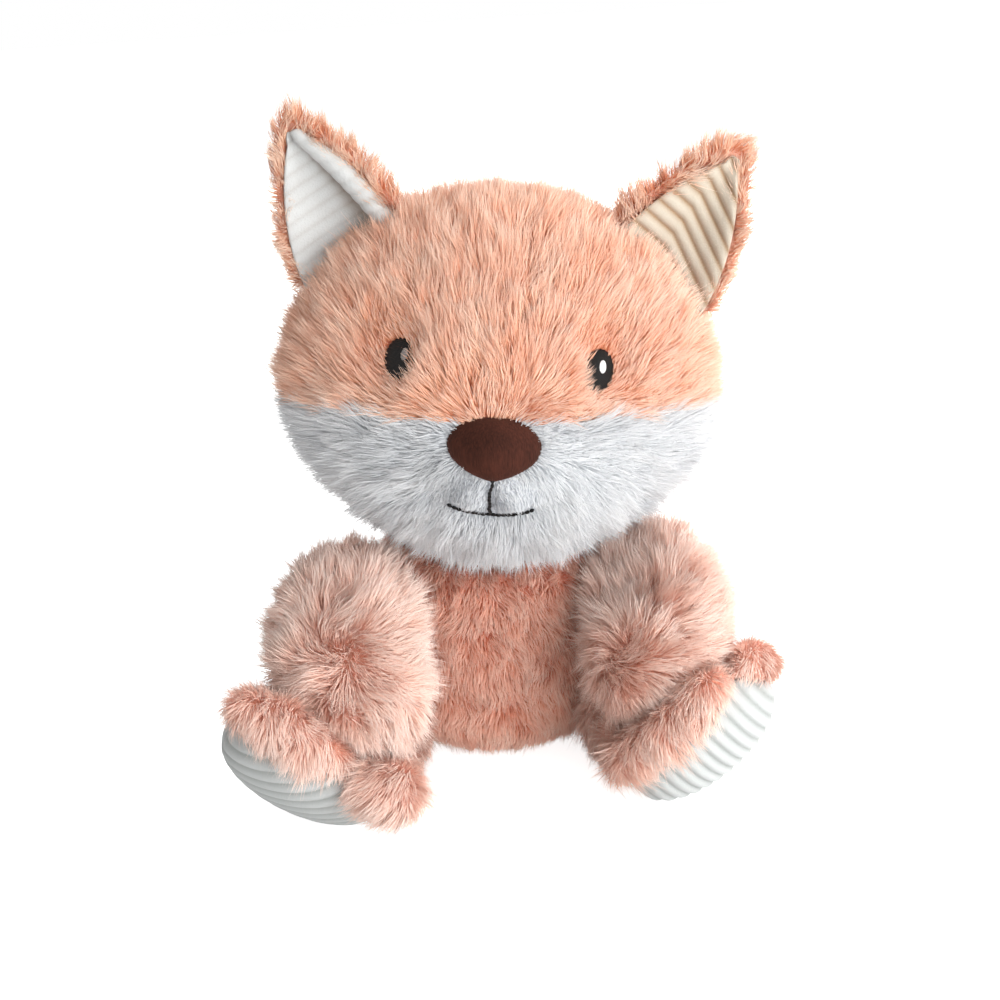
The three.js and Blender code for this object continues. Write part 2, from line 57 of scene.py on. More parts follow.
# %% [markdown]
# Colours are written as on a screen, and Blender counts light, so each is turned from sRGB to linear.
# Nodes, of materials and of geometry alike, are added by the same few functions.


# %% Colours and nodes
def linear(code):
    """A screen colour as light."""
    parts = [int(code[i : i + 2], 16) / 255 for i in (1, 3, 5)]
    return (*[c / 12.92 if c <= 0.04045 else ((c + 0.055) / 1.055) ** 2.4 for c in parts], 1)


def feed(tree, node, links):
    """Give a node its inputs, each a value, another node or one of its sockets."""
    for key, value in dict(links).items():
        if isinstance(value, bpy.types.Node):
            value = value.outputs[0]
        if isinstance(value, bpy.types.NodeSocket):
            tree.links.new(value, node.inputs[key])
        else:
            node.inputs[key].default_value = value
    return node


def tune(thing, **settings):
    for key, value in settings.items():
        setattr(thing, key, value)
    return thing


def add(tree, kind, links=(), **settings):
    return feed(tree, tune(tree.nodes.new(kind), **settings), links)


def reckon(tree, operation, *terms, **settings):
    return add(tree, "ShaderNodeMath", dict(enumerate(terms)), operation=operation, **settings)


def reckon_ways(tree, operation, *terms):
    return add(tree, "ShaderNodeVectorMath", dict(enumerate(terms)), operation=operation)


def scaled(tree, way, amount):
    return add(tree, "ShaderNodeVectorMath", {0: way, "Scale": amount}, operation="SCALE")


def ranged(tree, value, *bounds):
    return add(tree, "ShaderNodeMapRange", dict(enumerate((value, *bounds))))


def blend(tree, share, first, second, way="MIX"):
    links = {0: share, 6: first, 7: second}
    return add(tree, "ShaderNodeMix", links, data_type="RGBA", blend_type=way).outputs[2]


def object_place(tree):
    return add(tree, "ShaderNodeTexCoord").outputs["Object"]


def new_material(name, rough=0.9, sheen=0.0):
    material = bpy.data.materials.new(name)
    material.use_nodes = True
    tree = material.node_tree
    look = {"Roughness": rough, "Sheen Weight": sheen, "Sheen Roughness": 0.5, "Specular IOR Level": 0.2}
    return material, tree, feed(tree, tree.nodes["Principled BSDF"], look)


# %% Objects and meshes
def placed(name, data):
    made = bpy.data.objects.new(name, data)
    bpy.context.scene.collection.objects.link(made)
    return made


def mesh_of(name, spots, edges=(), faces=()):
    mesh = bpy.data.meshes.new(name)
    mesh.from_pydata(spots, edges, faces)
    return mesh


def face_outward(mesh, weld=False):
    shell = bmesh.new()
    shell.from_mesh(mesh)
    if weld:
        bmesh.ops.remove_doubles(shell, verts=shell.verts, dist=1e-6)
    bmesh.ops.recalc_face_normals(shell, faces=shell.faces)
    shell.to_mesh(mesh)
    shell.free()


def shade_smooth(mesh):
    for polygon in mesh.polygons:
        polygon.use_smooth = True


# %% [markdown]
# The camera stands where the photographer stood: a little to the toy's right, looking down 20 degrees,
# close enough that the feet look large. Its lens and place come from where the eyes, nose, ears and feet
# are.

# %% Camera
picture_size = 1000
sensor_width, focal_share = 36, 1.52
aim, distance = Vector((4, 0, 90)), 560
azimuth, elevation, roll = math.radians(5), math.radians(20), math.radians(-3.5)
level_forward = Vector((math.sin(azimuth), math.cos(azimuth), 0))
forward = level_forward * math.cos(elevation) - Vector((0, 0, 1)) * math.sin(elevation)
right = Vector((math.cos(azimuth), -math.sin(azimuth), 0))
up = right.cross(forward)
rolled_right = right * math.cos(roll) + up * math.sin(roll)
rolled_up = up * math.cos(roll) - right * math.sin(roll)
stand = aim * MM - forward * distance * MM
camera = placed("camera", bpy.data.cameras.new("camera"))
tune(camera.data, sensor_width=sensor_width, lens=sensor_width * focal_share, clip_start=0.01)
columns = Matrix((rolled_right, rolled_up, -forward)).transposed().to_4x4()
camera.matrix_world = Matrix.Translation(stand) @ columns
bpy.context.scene.camera = camera


def sight_line(x, y):
    """The way from the camera through a pixel of the picture."""
    across = (x - picture_size / 2) / (picture_size * focal_share)
    above = (picture_size / 2 - y) / (picture_size * focal_share)
    return (forward + rolled_right * across + rolled_up * above).normalized()


# %% [markdown]
# Soft light shows fur best. A lamp stands at the front right, a stronger one low in front, a weak one over
# the crown and one behind. The room gives the rest, bright on the right and dark on the left. Only the
# camera and mirrors see floor and world as white, so the background is white with no extra light on the
# toy.


# %% Studio
bpy.context.scene.view_settings.view_transform = "Standard"
lamps_aim = Vector((0, 0, 0.1))


def lamp(name, place, size, watts):
    light = tune(bpy.data.lights.new(name, "AREA"), size=size, energy=watts)
    turn = (lamps_aim - Vector(place)).to_track_quat("-Z", "Y").to_euler()
    tune(placed(name, light), location=place, rotation_euler=turn)


def seen_directly(tree):
    rays = add(tree, "ShaderNodeLightPath").outputs
    mirrored_too = reckon(tree, "MAXIMUM", rays["Is Camera Ray"], rays["Is Glossy Ray"])
    return reckon(tree, "MAXIMUM", mirrored_too, rays["Is Transmission Ray"])


lamp("key_softbox", (0.85, -0.8, 0.5), 0.7, 6)
lamp("front_softbox", (0.4, -1.1, 0.06), 0.8, 12.5)
lamp("top_softbox", (0.3, 0.1, 1.1), 0.8, 1)
lamp("rear_softbox", (0.5, 1.05, 0.7), 0.9, 15)

world = bpy.data.worlds.new("studio")
bpy.context.scene.world = world
world.use_nodes = True
sky = world.node_tree
dark_side, bright_side = 0.05, 1.0
from_where = add(sky, "ShaderNodeSeparateXYZ", {0: add(sky, "ShaderNodeTexCoord").outputs["Generated"]})
room = ranged(sky, from_where.outputs["X"], -0.9, 0.9, dark_side, bright_side)
shown = reckon(sky, "MAXIMUM", seen_directly(sky), room)
feed(sky, sky.nodes["Background"], {"Strength": shown, "Color": linear("#FFFFFF")})

paper_half, paper_glow = 6, 0.85
corners = [(x * paper_half, y * paper_half, 0) for x, y in ((-1, -1), (1, -1), (1, 1), (-1, 1))]
floor = placed("floor", mesh_of("floor", corners, faces=[(0, 1, 2, 3)]))
paper, tree, shader = new_material("white_paper_floor")
lit = reckon(tree, "MULTIPLY", seen_directly(tree), paper_glow)
look = {"Base Color": linear("#F4F4F4"), "Emission Strength": lit, "Emission Color": linear("#FFFFFF")}
feed(tree, shader, look)
floor.data.materials.append(paper)

# %% [markdown]
# Fur fabric is a knitted backing with a pile of dyed acrylic fibres, strong in colour at the root and pale
# at the tip. Each fibre carries its own map: across it a shade of its own, along it the way from root to
# tip. The material reads only that map.


# %% Pile materials
def pile_material(name, root, middle, tip, deep):
    material, tree, shader = new_material(name, 0.8, 0.1)
    where = add(tree, "ShaderNodeUVMap", uv_map="OFBake")
    parts = add(tree, "ShaderNodeSeparateXYZ", {0: where})
    along = add(tree, "ShaderNodeValToRGB", {0: parts.outputs["Y"]})
    stops = along.color_ramp.elements
    tune(stops[0], color=linear(root), position=0.05)
    tune(stops[1], color=linear(tip), position=0.97)
    tune(stops.new(0.45), color=linear(middle))
    strength = ranged(tree, parts.outputs["X"], 0.1, 0.9, 1.0, 0.0)
    feed(tree, shader, {"Base Color": blend(tree, strength, along, linear(deep), "MULTIPLY")})
    return material


# acrylic pile: peach on the head and tail, pink on the limbs, coral on the torso; the ears get the same
# peach painted paler, painted light on their thin, shaded fringe
peach_pile = pile_material("peach_acrylic_pile", "#EF9A72", "#F9C2A0", "#FFEADB", "#F6C4A6")
rose_pile = pile_material("rose_acrylic_pile", "#F7C2AE", "#FDDAC9", "#FFF2EA", "#FBE0D5")
coral_pile = pile_material("coral_acrylic_pile", "#EA8661", "#FABDA2", "#FFE8DA", "#F5C2AA")
peach_pile_painted_light = pile_material("peach_acrylic_pile_painted_light", "#F6B08C", "#F9D2B6", "#F7EBDF", "#F4D0B8")
white_pile = pile_material("white_acrylic_pile", "#D0D3D8", "#E4E6E8", "#F2F2F2", "#D9DCE0")


def backing(name, code):
    material, tree, shader = new_material(name, 0.95)
    grain = add(tree, "ShaderNodeTexNoise", {"Scale": 900, "Detail": 3})
    feed(tree, shader, {"Base Color": blend(tree, grain, linear(code), (0.9, 0.9, 0.9, 1), "MULTIPLY")})
    return material


peach_backing = backing("peach_knitted_backing", "#EBAE96")
white_backing = backing("white_knitted_backing", "#D5D8DE")

# %% [markdown]
# Corduroy is a weave whose tufts stand in ribs, called wales. The ribs here are real geometry, because they
# throw shadows, and the fine grain of the tufts is a bump. Each point of a ribbed piece carries how high it
# lies on its rib, and the colour follows that: cream or white on the crests, grey or tan in the valleys as
# painted shade of the grooves.


# %% Corduroy materials
def speckle(tree, place, scale, detail, **more):
    return add(tree, "ShaderNodeTexNoise", {"Vector": place, "Scale": scale, "Detail": detail, **more})


def colour_and_grain(tree, shader, colour, strength, depth, height):
    bump = add(tree, "ShaderNodeBump", {"Strength": strength, "Distance": depth, "Height": height})
    feed(tree, shader, {"Base Color": colour, "Normal": bump})


def corduroy(name, crest, valley):
    material, tree, shader = new_material(name, 0.9, 0.3)
    high = add(tree, "ShaderNodeAttribute", attribute_name="wale").outputs["Fac"]
    place = object_place(tree)
    tufts = speckle(tree, place, 1700, 3, Roughness=0.6)
    lifted = reckon(tree, "MULTIPLY_ADD", tufts, 0.3, -0.15)
    # low on its rib the colour turns to the valley colour: painted shade in the grooves
    tone = blend(tree, reckon(tree, "ADD", high, lifted, use_clamp=True), linear(valley), linear(crest))
    dim = ranged(tree, speckle(tree, place, 120, 2), 0.3, 0.7, 0.0, 0.12)
    colour_and_grain(tree, shader, blend(tree, dim, tone, linear(valley)), 0.7, 0.3 * MM, tufts)
    return material


# cotton corduroy: the ears share one cream cloth in two copies, cream with tan valleys in the lit left ear,
# cool grey in the right one as painted shade, whiter on the soles
ear_corduroy = corduroy("cream_cotton_corduroy", "#D0C7B7", "#A08060")
painted_shade_ear_corduroy = corduroy("painted_shade_cotton_corduroy", "#D6D8D7", "#96887C")
sole_corduroy = corduroy("white_cotton_corduroy", "#D0D3D2", "#A4A8A5")

# %% [markdown]
# The nose is velour, a knit with a very short pile: dark brown with the fine streaks of its grain, and
# lighter patches that are painted sheen. Eyes and mouth are rayon embroidery, glossier than the cloth, with
# a fine rib from thread to thread, each thread painted lighter on its crest as a painted highlight.


# %% Velour and thread
def velour(name, dark, pale):
    material, tree, shader = new_material(name, 0.85, 0.06)
    feed(tree, shader, {"Sheen Tint": linear("#C98B6E")})
    place = object_place(tree)
    stretched = add(tree, "ShaderNodeMapping", {"Vector": place, "Scale": (1.0, 1.0, 0.14)})
    streaks = speckle(tree, stretched, 1900, 2)
    both = reckon(tree, "ADD", streaks, speckle(tree, place, 90, 1))
    # the fine streaks are the velour's grain; the larger noise gives lighter patches, a painted sheen
    share = ranged(tree, both, 0.75, 1.3, 0.0, 1.0)
    colour_and_grain(tree, shader, blend(tree, share, linear(dark), linear(pale)), 0.8, 0.25 * MM, streaks)
    return material


def embroidery(name, code, pitch):
    material, tree, shader = new_material(name, 0.5)
    place = object_place(tree)
    waves = {"Vector": place, "Scale": 2 * math.pi / (20 * pitch), "Distortion": 1.5, "Detail": 1}
    threads = add(tree, "ShaderNodeTexWave", waves, bands_direction="DIAGONAL")
    # each thread painted up to 35 percent lighter on its crest: a painted highlight
    tone = blend(tree, threads, linear(code), (1.35, 1.35, 1.35, 1), "MULTIPLY")
    colour_and_grain(tree, shader, tone, 0.9, 0.15 * MM, threads)
    return material


thread_pitch = 0.6 * MM
brown_velour = velour("brown_polyester_velour", "#2E130A", "#482318")
black_thread = embroidery("black_rayon_thread", "#0B0908", thread_pitch)
pale_thread = embroidery("white_rayon_thread", "#F2F2F2", thread_pitch)
# the glints' white thread painted grey: painted shade
painted_shade_white_thread = embroidery("painted_shade_rayon_thread", "#8D8784", thread_pitch)

# %% [markdown]
# A stuffed form is cloth pushed out from inside. Each one starts as a copy of its solids, drawn again in
# even faces and a little smaller. A short cloth simulation with pressure then swells it as the filling
# would, and no point may move further than the cap.


# %% Stuffed forms
def evaluated_copy(piece):
    depsgraph = bpy.context.evaluated_depsgraph_get()
    return bpy.data.meshes.new_from_object(piece.evaluated_get(depsgraph))


def apply_modifiers(piece):
    mesh = evaluated_copy(piece)
    piece.modifiers.clear()
    piece.data = mesh


def coordinates(mesh, what="co"):
    found = np.empty(len(mesh.vertices) * 3)
    mesh.vertices.foreach_get(what, found)
    return found.reshape(-1, 3)


def move_points(mesh, places):
    mesh.vertices.foreach_set("co", places.ravel())


def lengths(vectors):
    return np.linalg.norm(vectors, axis=1, keepdims=True)


def swell(piece, pressure, cap, steps=20):
    start = coordinates(piece.data)
    cloth = piece.modifiers.new("cloth", "CLOTH")
    tune(cloth.settings, quality=4, mass=0.2, use_pressure=True, uniform_pressure_force=pressure)
    cloth.settings.effector_weights.gravity = 0
    cloth.collision_settings.use_collision = False
    for step in range(1, steps + 1):
        bpy.context.scene.frame_set(step)
    moved = coordinates(evaluated_copy(piece)) - start
    piece.modifiers.clear()
    bpy.context.scene.frame_set(1)
    move_points(piece.data, start + moved * np.minimum(1, cap / np.maximum(lengths(moved), 1e-9)))


def stuffed(name, body, nodes, voxel=3.5 * MM, tuck=2.0 * MM, smooth=6, lumps=()):
    """One form from its solids and any lumps of extra filling, tucked in and then swelled again."""
    joined = bmesh.new()
    for node in nodes:
        joined.from_mesh(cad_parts[node].data)
    bmesh.ops.remove_doubles(joined, verts=joined.verts, dist=1e-6)
    for lump in lumps:
        bmesh.ops.create_icosphere(joined, subdivisions=3, radius=1.0, matrix=lump)
    mesh = bpy.data.meshes.new(name)
    joined.to_mesh(mesh)
    joined.free()
    piece = placed(name, mesh)
    tune(piece.modifiers.new("even", "REMESH"), mode="VOXEL", voxel_size=voxel)
    tune(piece.modifiers.new("relax", "SMOOTH"), iterations=smooth, factor=0.5)
    apply_modifiers(piece)
    move_points(piece.data, coordinates(piece.data) - coordinates(piece.data, "normal") * tuck)
    swell(piece, 4, tuck + 1.0 * MM)
    tune(piece.modifiers.new("finer", "SUBSURF"), levels=1, render_levels=1)
    apply_modifiers(piece)
    shade_smooth(piece.data)
    piece.data.materials.clear()
    piece.data.materials.append(peach_backing)
    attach(piece, body)
    return piece


head_nodes = ["crown_fur", "face_fur", "head_back_fur", "head_stuffing"]
forms = {
    "head": stuffed("head_form", "head", head_nodes, 3 * MM, smooth=9),
    "torso": stuffed("torso_form", "torso", ["torso_fur", "torso_stuffing", "seat_pellet_bag"]),
    "tail": stuffed("tail_form", "tail", ["tail_fur", "tail_tip_fur", "tail_stuffing"], 3 * MM),
}
for side in hands:
    arm, ear = f"arm_{side}", f"ear_{side}"
    forms[arm] = stuffed(f"arm_form_{side}", arm, [f"arm_fur_{side}", f"arm_stuffing_{side}"])
    forms[ear] = stuffed(f"ear_form_{side}", ear, [f"ear_back_{side}"], 1.6 * MM, 0.4 * MM, smooth=3)
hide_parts("head_stuffing")
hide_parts("torso_stuffing", "seat_pellet_bag", "neck_stuffing")
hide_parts("tail_stuffing")
for side in hands:
    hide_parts(f"arm_stuffing_{side}")

# %% [markdown]
# The head was drawn upright and then turned and tilted about the neck, so places on it are easier to give
# as on an upright head, in millimetres. The same pose takes them to where they are.

# %% Places on the head
neck = Vector((0, 0, 79))
head_turn, head_tilt, head_level = -7.5, 6.5, 133
pose = Matrix.Translation(neck) @ Matrix.Rotation(math.radians(head_turn), 4, "Z")
pose = pose @ Matrix.Rotation(math.radians(head_tilt), 4, "Y") @ Matrix.Translation(-neck)
turn_only = np.array(pose.to_3x3())
backward = (pose.to_3x3() @ Vector((0, 1, 0))).normalized()


def in_head(point):
    return (pose @ Vector(point)) * MM


def upright(places):
    """Places on the posed head, as millimetres on the upright one."""
    return (places / MM - np.array(pose.translation)) @ turn_only


# the seam planes between crown, face and back, as in the solids
head_half_depth, muzzle_reach = 55, 24
seam_drop, muzzle_seam_rise, seam_slope, cheek_seam_setback = 2, 11, math.radians(-3), 17
seam_front = Vector((0, -head_half_depth - muzzle_reach, head_level - seam_drop + muzzle_seam_rise))
seam_side = Vector((0, 0, head_level - seam_drop))
seam_up = Vector((1, 0, 0)).cross(seam_side - seam_front)
seam_up = (Matrix.Rotation(seam_slope, 3, "Y") @ seam_up).normalized()


def above_seam(places):
    return (upright(places) - np.array(seam_side)) @ np.array(seam_up)


def behind_seam(places):
    return upright(places)[:, 1] - cheek_seam_setback


# %% [markdown]
# The muzzle has two small round lips between the nose and the smile, parted by the stitched groove, and a
# crease where the smile is sewn through to the filling. They are short bumps and hollows on the head's
# form.

# %% Lips and creases of the muzzle
nose_level, nose_half_width, nose_half_height = 134, 14.3, 8.2
nose_foot = nose_level - 9
smile_level, smile_half_width, smile_sag = 109, 12.5, 4.2
lip_level, lip_offset, lip_rise, crease_depth = 117, 7, 2.8, 2.4


def bump_at(places, x, z, wide, high):
    return np.exp(-(((places[:, 0] - x) / wide) ** 2) - ((places[:, 2] - z) / high) ** 2)


def over_smile(flat):
    """How far places lie over the line of the smile."""
    return flat[:, 2] - (smile_level + smile_sag * (flat[:, 0] / smile_half_width) ** 2)


head_mesh = forms["head"].data
places, normals = coordinates(head_mesh), coordinates(head_mesh, "normal")
flat = upright(places)
front = np.clip((-flat[:, 1] - 45) / 15, 0, 1)
lips = sum(bump_at(flat, way * lip_offset, lip_level, 6, 6.5) for way in (-1, 1)) * lip_rise
groove = crease_depth * bump_at(flat, 0, lip_level, 1.8, 7.5)
crease = crease_depth * np.exp(-(((over_smile(flat) + 1) / 2.6) ** 2) - (flat[:, 0] / 13) ** 4)
rise = (lips - groove - crease) * front * MM
move_points(head_mesh, places + normals * rise[:, None])
head_mesh.update()
print(f"lips rise {rise.max() * 1000:.1f} mm, creases sink {-rise.min() * 1000:.1f} mm")

head_mesh.materials.append(white_backing)
centres = np.array([polygon.center for polygon in head_mesh.polygons])
white = (above_seam(centres) < 0) & (behind_seam(centres) < 0)
head_mesh.polygons.foreach_set("material_index", white.astype(np.int32))


def tree_of(piece):
    mesh = piece.data
    corners = [tuple(polygon.vertices) for polygon in mesh.polygons]
    return BVHTree.FromPolygons([vertex.co.copy() for vertex in mesh.vertices], corners)


trees = {name: tree_of(form) for name, form in forms.items()}


def on_face(x, z, proud=0.0):
    """The place on the front of the head at a given way across and up, standing proud of its form."""
    hit, normal, _, _ = trees["head"].ray_cast(in_head((x, -200, z)), backward)
    return hit + normal * proud * MM


# %% [markdown]
# Patches sewn on the face, the nose, eyes and glints, are low domes. Each is drawn in rings from its middle
# to its outline, laid on the face by casting every point onto it, and tucked in at its edge.


# %% Sewn patches
def rounded(corners, steps=6):
    """A closed smooth outline through a few corners."""
    outline = []
    count = len(corners)
    for i in range(count):
        a, b, c, d = (np.array(corners[(i + k) % count]) for k in (-1, 0, 1, 2))
        for t in np.arange(steps) / steps:
            bowed = 2 * b + (c - a) * t + (2 * a - 5 * b + 4 * c - d) * t**2
            outline.append(0.5 * (bowed + (3 * b - a - 3 * c + d) * t**3))
    return outline


def ring_faces(rings, count):
    """The faces between rings of points that follow one another."""
    faces = []
    for ring in range(rings):
        for i in range(count):
            j = (i + 1) % count
            inner, outer = ring * count, (ring + 1) * count
            faces.append((inner + i, outer + i, outer + j, inner + j))
    return faces


def sewn_patch(name, centre, outline, edge, dome, material, node, base=0.0, rings=10, tuck=1.0):
    spots, count = [], len(outline)
    for ring in range(1, rings + 1):
        share = ring / rings
        high = base + edge + dome * (1 - share**2.4) ** 0.7
        for x, z in outline:
            spots.append(on_face(centre[0] + x * share, centre[1] + z * share, high))
    for x, z in outline:
        spots.append(on_face(centre[0] + x, centre[1] + z, base - tuck))
    faces = ring_faces(rings, count)
    top, foot, last = len(spots), len(spots) + 1, rings * count
    spots.append(on_face(*centre, base + edge + dome))
    spots.append(on_face(*centre, base - tuck))
    for i in range(count):
        j = (i + 1) % count
        faces.append((top, i, j))
        faces.append((foot, last + j, last + i))
    mesh = mesh_of(name, spots, faces=faces)
    face_outward(mesh)
    piece = placed(name, mesh)
    shade_smooth(mesh)
    mesh.materials.append(material)
    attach(piece, "head")
    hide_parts(node)


nose_right_side = [(0.42, 0.99), (0.8, 0.66), (1.0, 0.12), (0.9, -0.42), (0.56, -0.86), (0.18, -1.1)]
nose_left_side = [(-x, z) for x, z in reversed(nose_right_side)]
nose_shares = [(0, 1.06), *nose_right_side, (0, -1.16), *nose_left_side]
nose_outline = rounded([(x * nose_half_width, z * nose_half_height) for x, z in nose_shares])
nose = (0, nose_level)
sewn_patch("nose_velour", nose, nose_outline, 1.6, 3.2, brown_velour, "nose_patch")


def oval(half_width, half_height, ragged=0.0, leaning=0, count=48):
    """An oval that leans by some degrees, with the uneven edge of satin stitches."""
    outline = []
    for i in range(count):
        turn = 2 * math.pi * i / count
        reach = 1 + ragged * (i % 2)
        spot = Vector((half_width * reach * math.cos(turn), half_height * reach * math.sin(turn)))
        outline.append(tuple(Matrix.Rotation(math.radians(-leaning), 2) @ spot))
    return outline


eye_half_span, eye_level, eye_half_width, eye_half_height = 31.7, 154.4, 4.6, 6.1
eye_lean = {"left": -4, "right": 15}
glint_shift = {"left": (0.5, 1.0), "right": (2.0, 1.6)}
# both glints are white thread; the right eye's is painted grey, painted shade of the darker side of the
# head
glint_thread = {"left": pale_thread, "right": painted_shade_white_thread}
for side, hand in hands.items():
    middle = (hand * eye_half_span, eye_level)
    satin = oval(eye_half_width, eye_half_height, 0.05, eye_lean[side])
    name, node = f"eye_embroidery_{side}", f"eye_{side}"
    sewn_patch(name, middle, satin, 1.5, 0.9, black_thread, node)
    spot = (middle[0] + glint_shift[side][0], middle[1] + glint_shift[side][1])
    small = oval(1.0, 1.8, 0.06, eye_lean[side], 24)
    name, node = f"glint_embroidery_{side}", f"eye_glint_{side}"
    sewn_patch(name, spot, small, 0.5, 0.25, glint_thread[side], node, 2.0, 5)

# %% [markdown]
# The mouth is a row of chain stitches. One stitch is a small grain of thread, so Geometry Nodes lay the
# same grain again and again along a line, each turned the way the line runs.


# %% Chain stitches
def new_group(name, inputs, result):
    """A tree of geometry nodes, what a modifier calls its inputs, and the inputs themselves."""
    group = bpy.data.node_groups.new(name, "GeometryNodeTree")
    keys = {}
    for label, kind, value in inputs:
        made = group.interface.new_socket(label, in_out="INPUT", socket_type="NodeSocket" + kind)
        if value is not None:
            made.default_value = value
        keys[label] = made.identifier
    group.interface.new_socket(result, in_out="OUTPUT", socket_type="NodeSocketGeometry")
    return group, keys, add(group, "NodeGroupInput").outputs


stitch_inputs = (
    ("Line", "Geometry", None),
    ("Stitch length", "Float", 2.0 * MM),
    ("Stitch width", "Float", 1.25 * MM),
    ("Thread", "Material", None),
)
stitches, stitch_keys, given = new_group("chain_stitches", stitch_inputs, "Stitches")
curve = add(stitches, "GeometryNodeMeshToCurve", {"Mesh": given["Line"]})
apart = reckon(stitches, "MULTIPLY", given["Stitch length"], 0.86)
steps = add(stitches, "GeometryNodeResampleCurve", {"Curve": curve, "Length": apart}, mode="LENGTH")
grain = add(stitches, "GeometryNodeMeshUVSphere", {"Segments": 8, "Rings": 6, "Radius": 0.5})
along = add(stitches, "GeometryNodeInputTangent")
turned = add(stitches, "FunctionNodeAlignRotationToVector", {"Vector": along}, axis="Z")
sizes = {"X": given["Stitch width"], "Y": given["Stitch width"], "Z": given["Stitch length"]}
size = add(stitches, "ShaderNodeCombineXYZ", sizes)
laying = {"Points": steps, "Instance": grain, "Rotation": turned, "Scale": size}
laid = add(stitches, "GeometryNodeInstanceOnPoints", laying)
real = add(stitches, "GeometryNodeRealizeInstances", {"Geometry": laid})
coloured = add(stitches, "GeometryNodeSetMaterial", {"Geometry": real, "Material": given["Thread"]})
add(stitches, "NodeGroupOutput", {0: coloured})


def sewn_line(name, places, node):
    spots = [on_face(x, z, 2.0) for x, z in places]
    piece = placed(name, mesh_of(name, spots, [(i, i + 1) for i in range(len(places) - 1)]))
    modifier = tune(piece.modifiers.new("stitches", "NODES"), node_group=stitches)
    modifier[stitch_keys["Thread"]] = black_thread
    apply_modifiers(piece)
    shade_smooth(piece.data)
    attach(piece, "head")
    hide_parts(node)


smile = [(t * smile_half_width, smile_level + smile_sag * t * t) for t in np.linspace(-1, 1, 25)]
sewn_line("smile_chain_stitch", smile, "smile_stitch")
philtrum = [(0, z) for z in np.linspace(nose_foot, smile_level + 0.6, 9)]
sewn_line("philtrum_chain_stitch", philtrum, "philtrum_stitch")

# %% [markdown]
# Ear linings and soles are panels of corduroy. Each is a closed slab drawn between two surfaces, the ribbed
# face and its back, from the same sizes as the solids. The ribs are rounded, with sharp valleys, 4.4 mm
# apart on the soles and 5 mm apart in the ears.

# %% Ribbed panels
rib_pitch, rib_relief = 4.4, 1.2


def wale(way):
    """How high a place lies on its rib, from 0 in the valley to 1 on the crest."""
    return 1 - abs(2 * ((way / rib_pitch) % 1) - 1) ** 2.2


def panel_piece(name, spots, faces, high, body, material):
    mesh = mesh_of(name, spots, faces=faces)
    attribute = mesh.attributes.new("wale", "FLOAT", "POINT")
    attribute.data.foreach_set("value", high)
    face_outward(mesh, weld=True)
    piece = placed(name, mesh)
    shade_smooth(mesh)
    mesh.materials.append(material)
    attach(piece, body)
    return piece


def ribbed_panel(name, body, columns, rows, face, back, material, node):
    """A slab between two surfaces, which give a place and a rib height for the shares across and up."""
    spots, faces, high = [], [], []
    for surface in (face, back):
        for j in range(rows + 1):
            for i in range(columns + 1):
                spot, wale_share = surface(i / columns, j / rows)
                spots.append(spot)
                high.append(wale_share)
    layer = (columns + 1) * (rows + 1)
    at = lambda k, i, j: k * layer + j * (columns + 1) + i
    for j in range(rows):
        for i in range(columns):
            for k in (0, 1):
                faces.append((at(k, i, j), at(k, i + 1, j), at(k, i + 1, j + 1), at(k, i, j + 1)))
    for i in range(columns):
        for j in (0, rows):
            faces.append((at(0, i, j), at(1, i, j), at(1, i + 1, j), at(0, i + 1, j)))
    for j in range(rows):
        for i in (0, columns):
            faces.append((at(0, i, j), at(1, i, j), at(1, i, j + 1), at(0, i, j + 1)))
    piece = panel_piece(name, spots, faces, high, body, material)
    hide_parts(node)
    return piece


# %% [markdown]
# An ear is a leaf that cups forward at its edges. The lining fills it but for a narrow hem of fur, and its
# ribs bend at a line near the middle. On the toy's right ear the inner edge was sewn with slack, so it
# rolls forward, and the ribs hardly show; the hollow beside the roll is darkened as a painted shadow.

# %% Ear linings
ear_width, ear_height, ear_cup, ear_hem = 47, 53, 9, 3.5
ear_side_share = 0.68
head_half_width, head_top_rise, ear_seat = 75, 68, 6
ear_base = Vector((head_half_width * ear_side_share, 0, 0))
ear_base.z = head_level + head_top_rise * math.sqrt(1 - ear_side_share**2) - ear_seat
lean = math.radians(30)
ear_up = Vector((math.sin(lean), 0, math.cos(lean)))
ear_across = Vector((math.cos(lean), 0, -math.sin(lean)))
rib_slant = {"left": 0.62, "right": 0.1}
rib_kink, rib_slant_share = -3, 0.3
ear_rib_share = rib_pitch / 5.0
ear_rows_per_rib, ear_columns = 12, 44
lining_thickness, lining_lift = 1.9, 0.4
ear_tip_starts, ear_tip_radius = 0.86, 3.4
rib_show = {"left": 1.0, "right": 0.22}
# one cloth in two copies: the right ear's cool grey is painted shade
ear_cloth = {"left": ear_corduroy, "right": painted_shade_ear_corduroy}


def lining_half(v):
    """Half the lining's width at a share of its height, and how wide the leaf is there."""
    leaf = (1 - v**1.7) ** 0.8 * 0.91 + 0.09
    half = ear_width / 2 * leaf - ear_hem
    if v > ear_tip_starts:
        half = max(half, ear_tip_radius * math.sqrt(1 - ((v - ear_tip_starts) / (1 - ear_tip_starts)) ** 2))
    return half, leaf


def ear_place(side, across, up, ahead):
    spot = ear_base + ear_across * across + ear_up * up
    spot.y -= ahead
    spot.x *= hands[side]
    return in_head(spot)


def ear_spot(side, p, q, ahead):
    u, v = 2 * p - 1, q * 0.985 + 0.005
    half, leaf = lining_half(v)
    return ear_place(side, u * half, v * (ear_height - ear_hem), ahead + ear_cup * u * u * leaf)


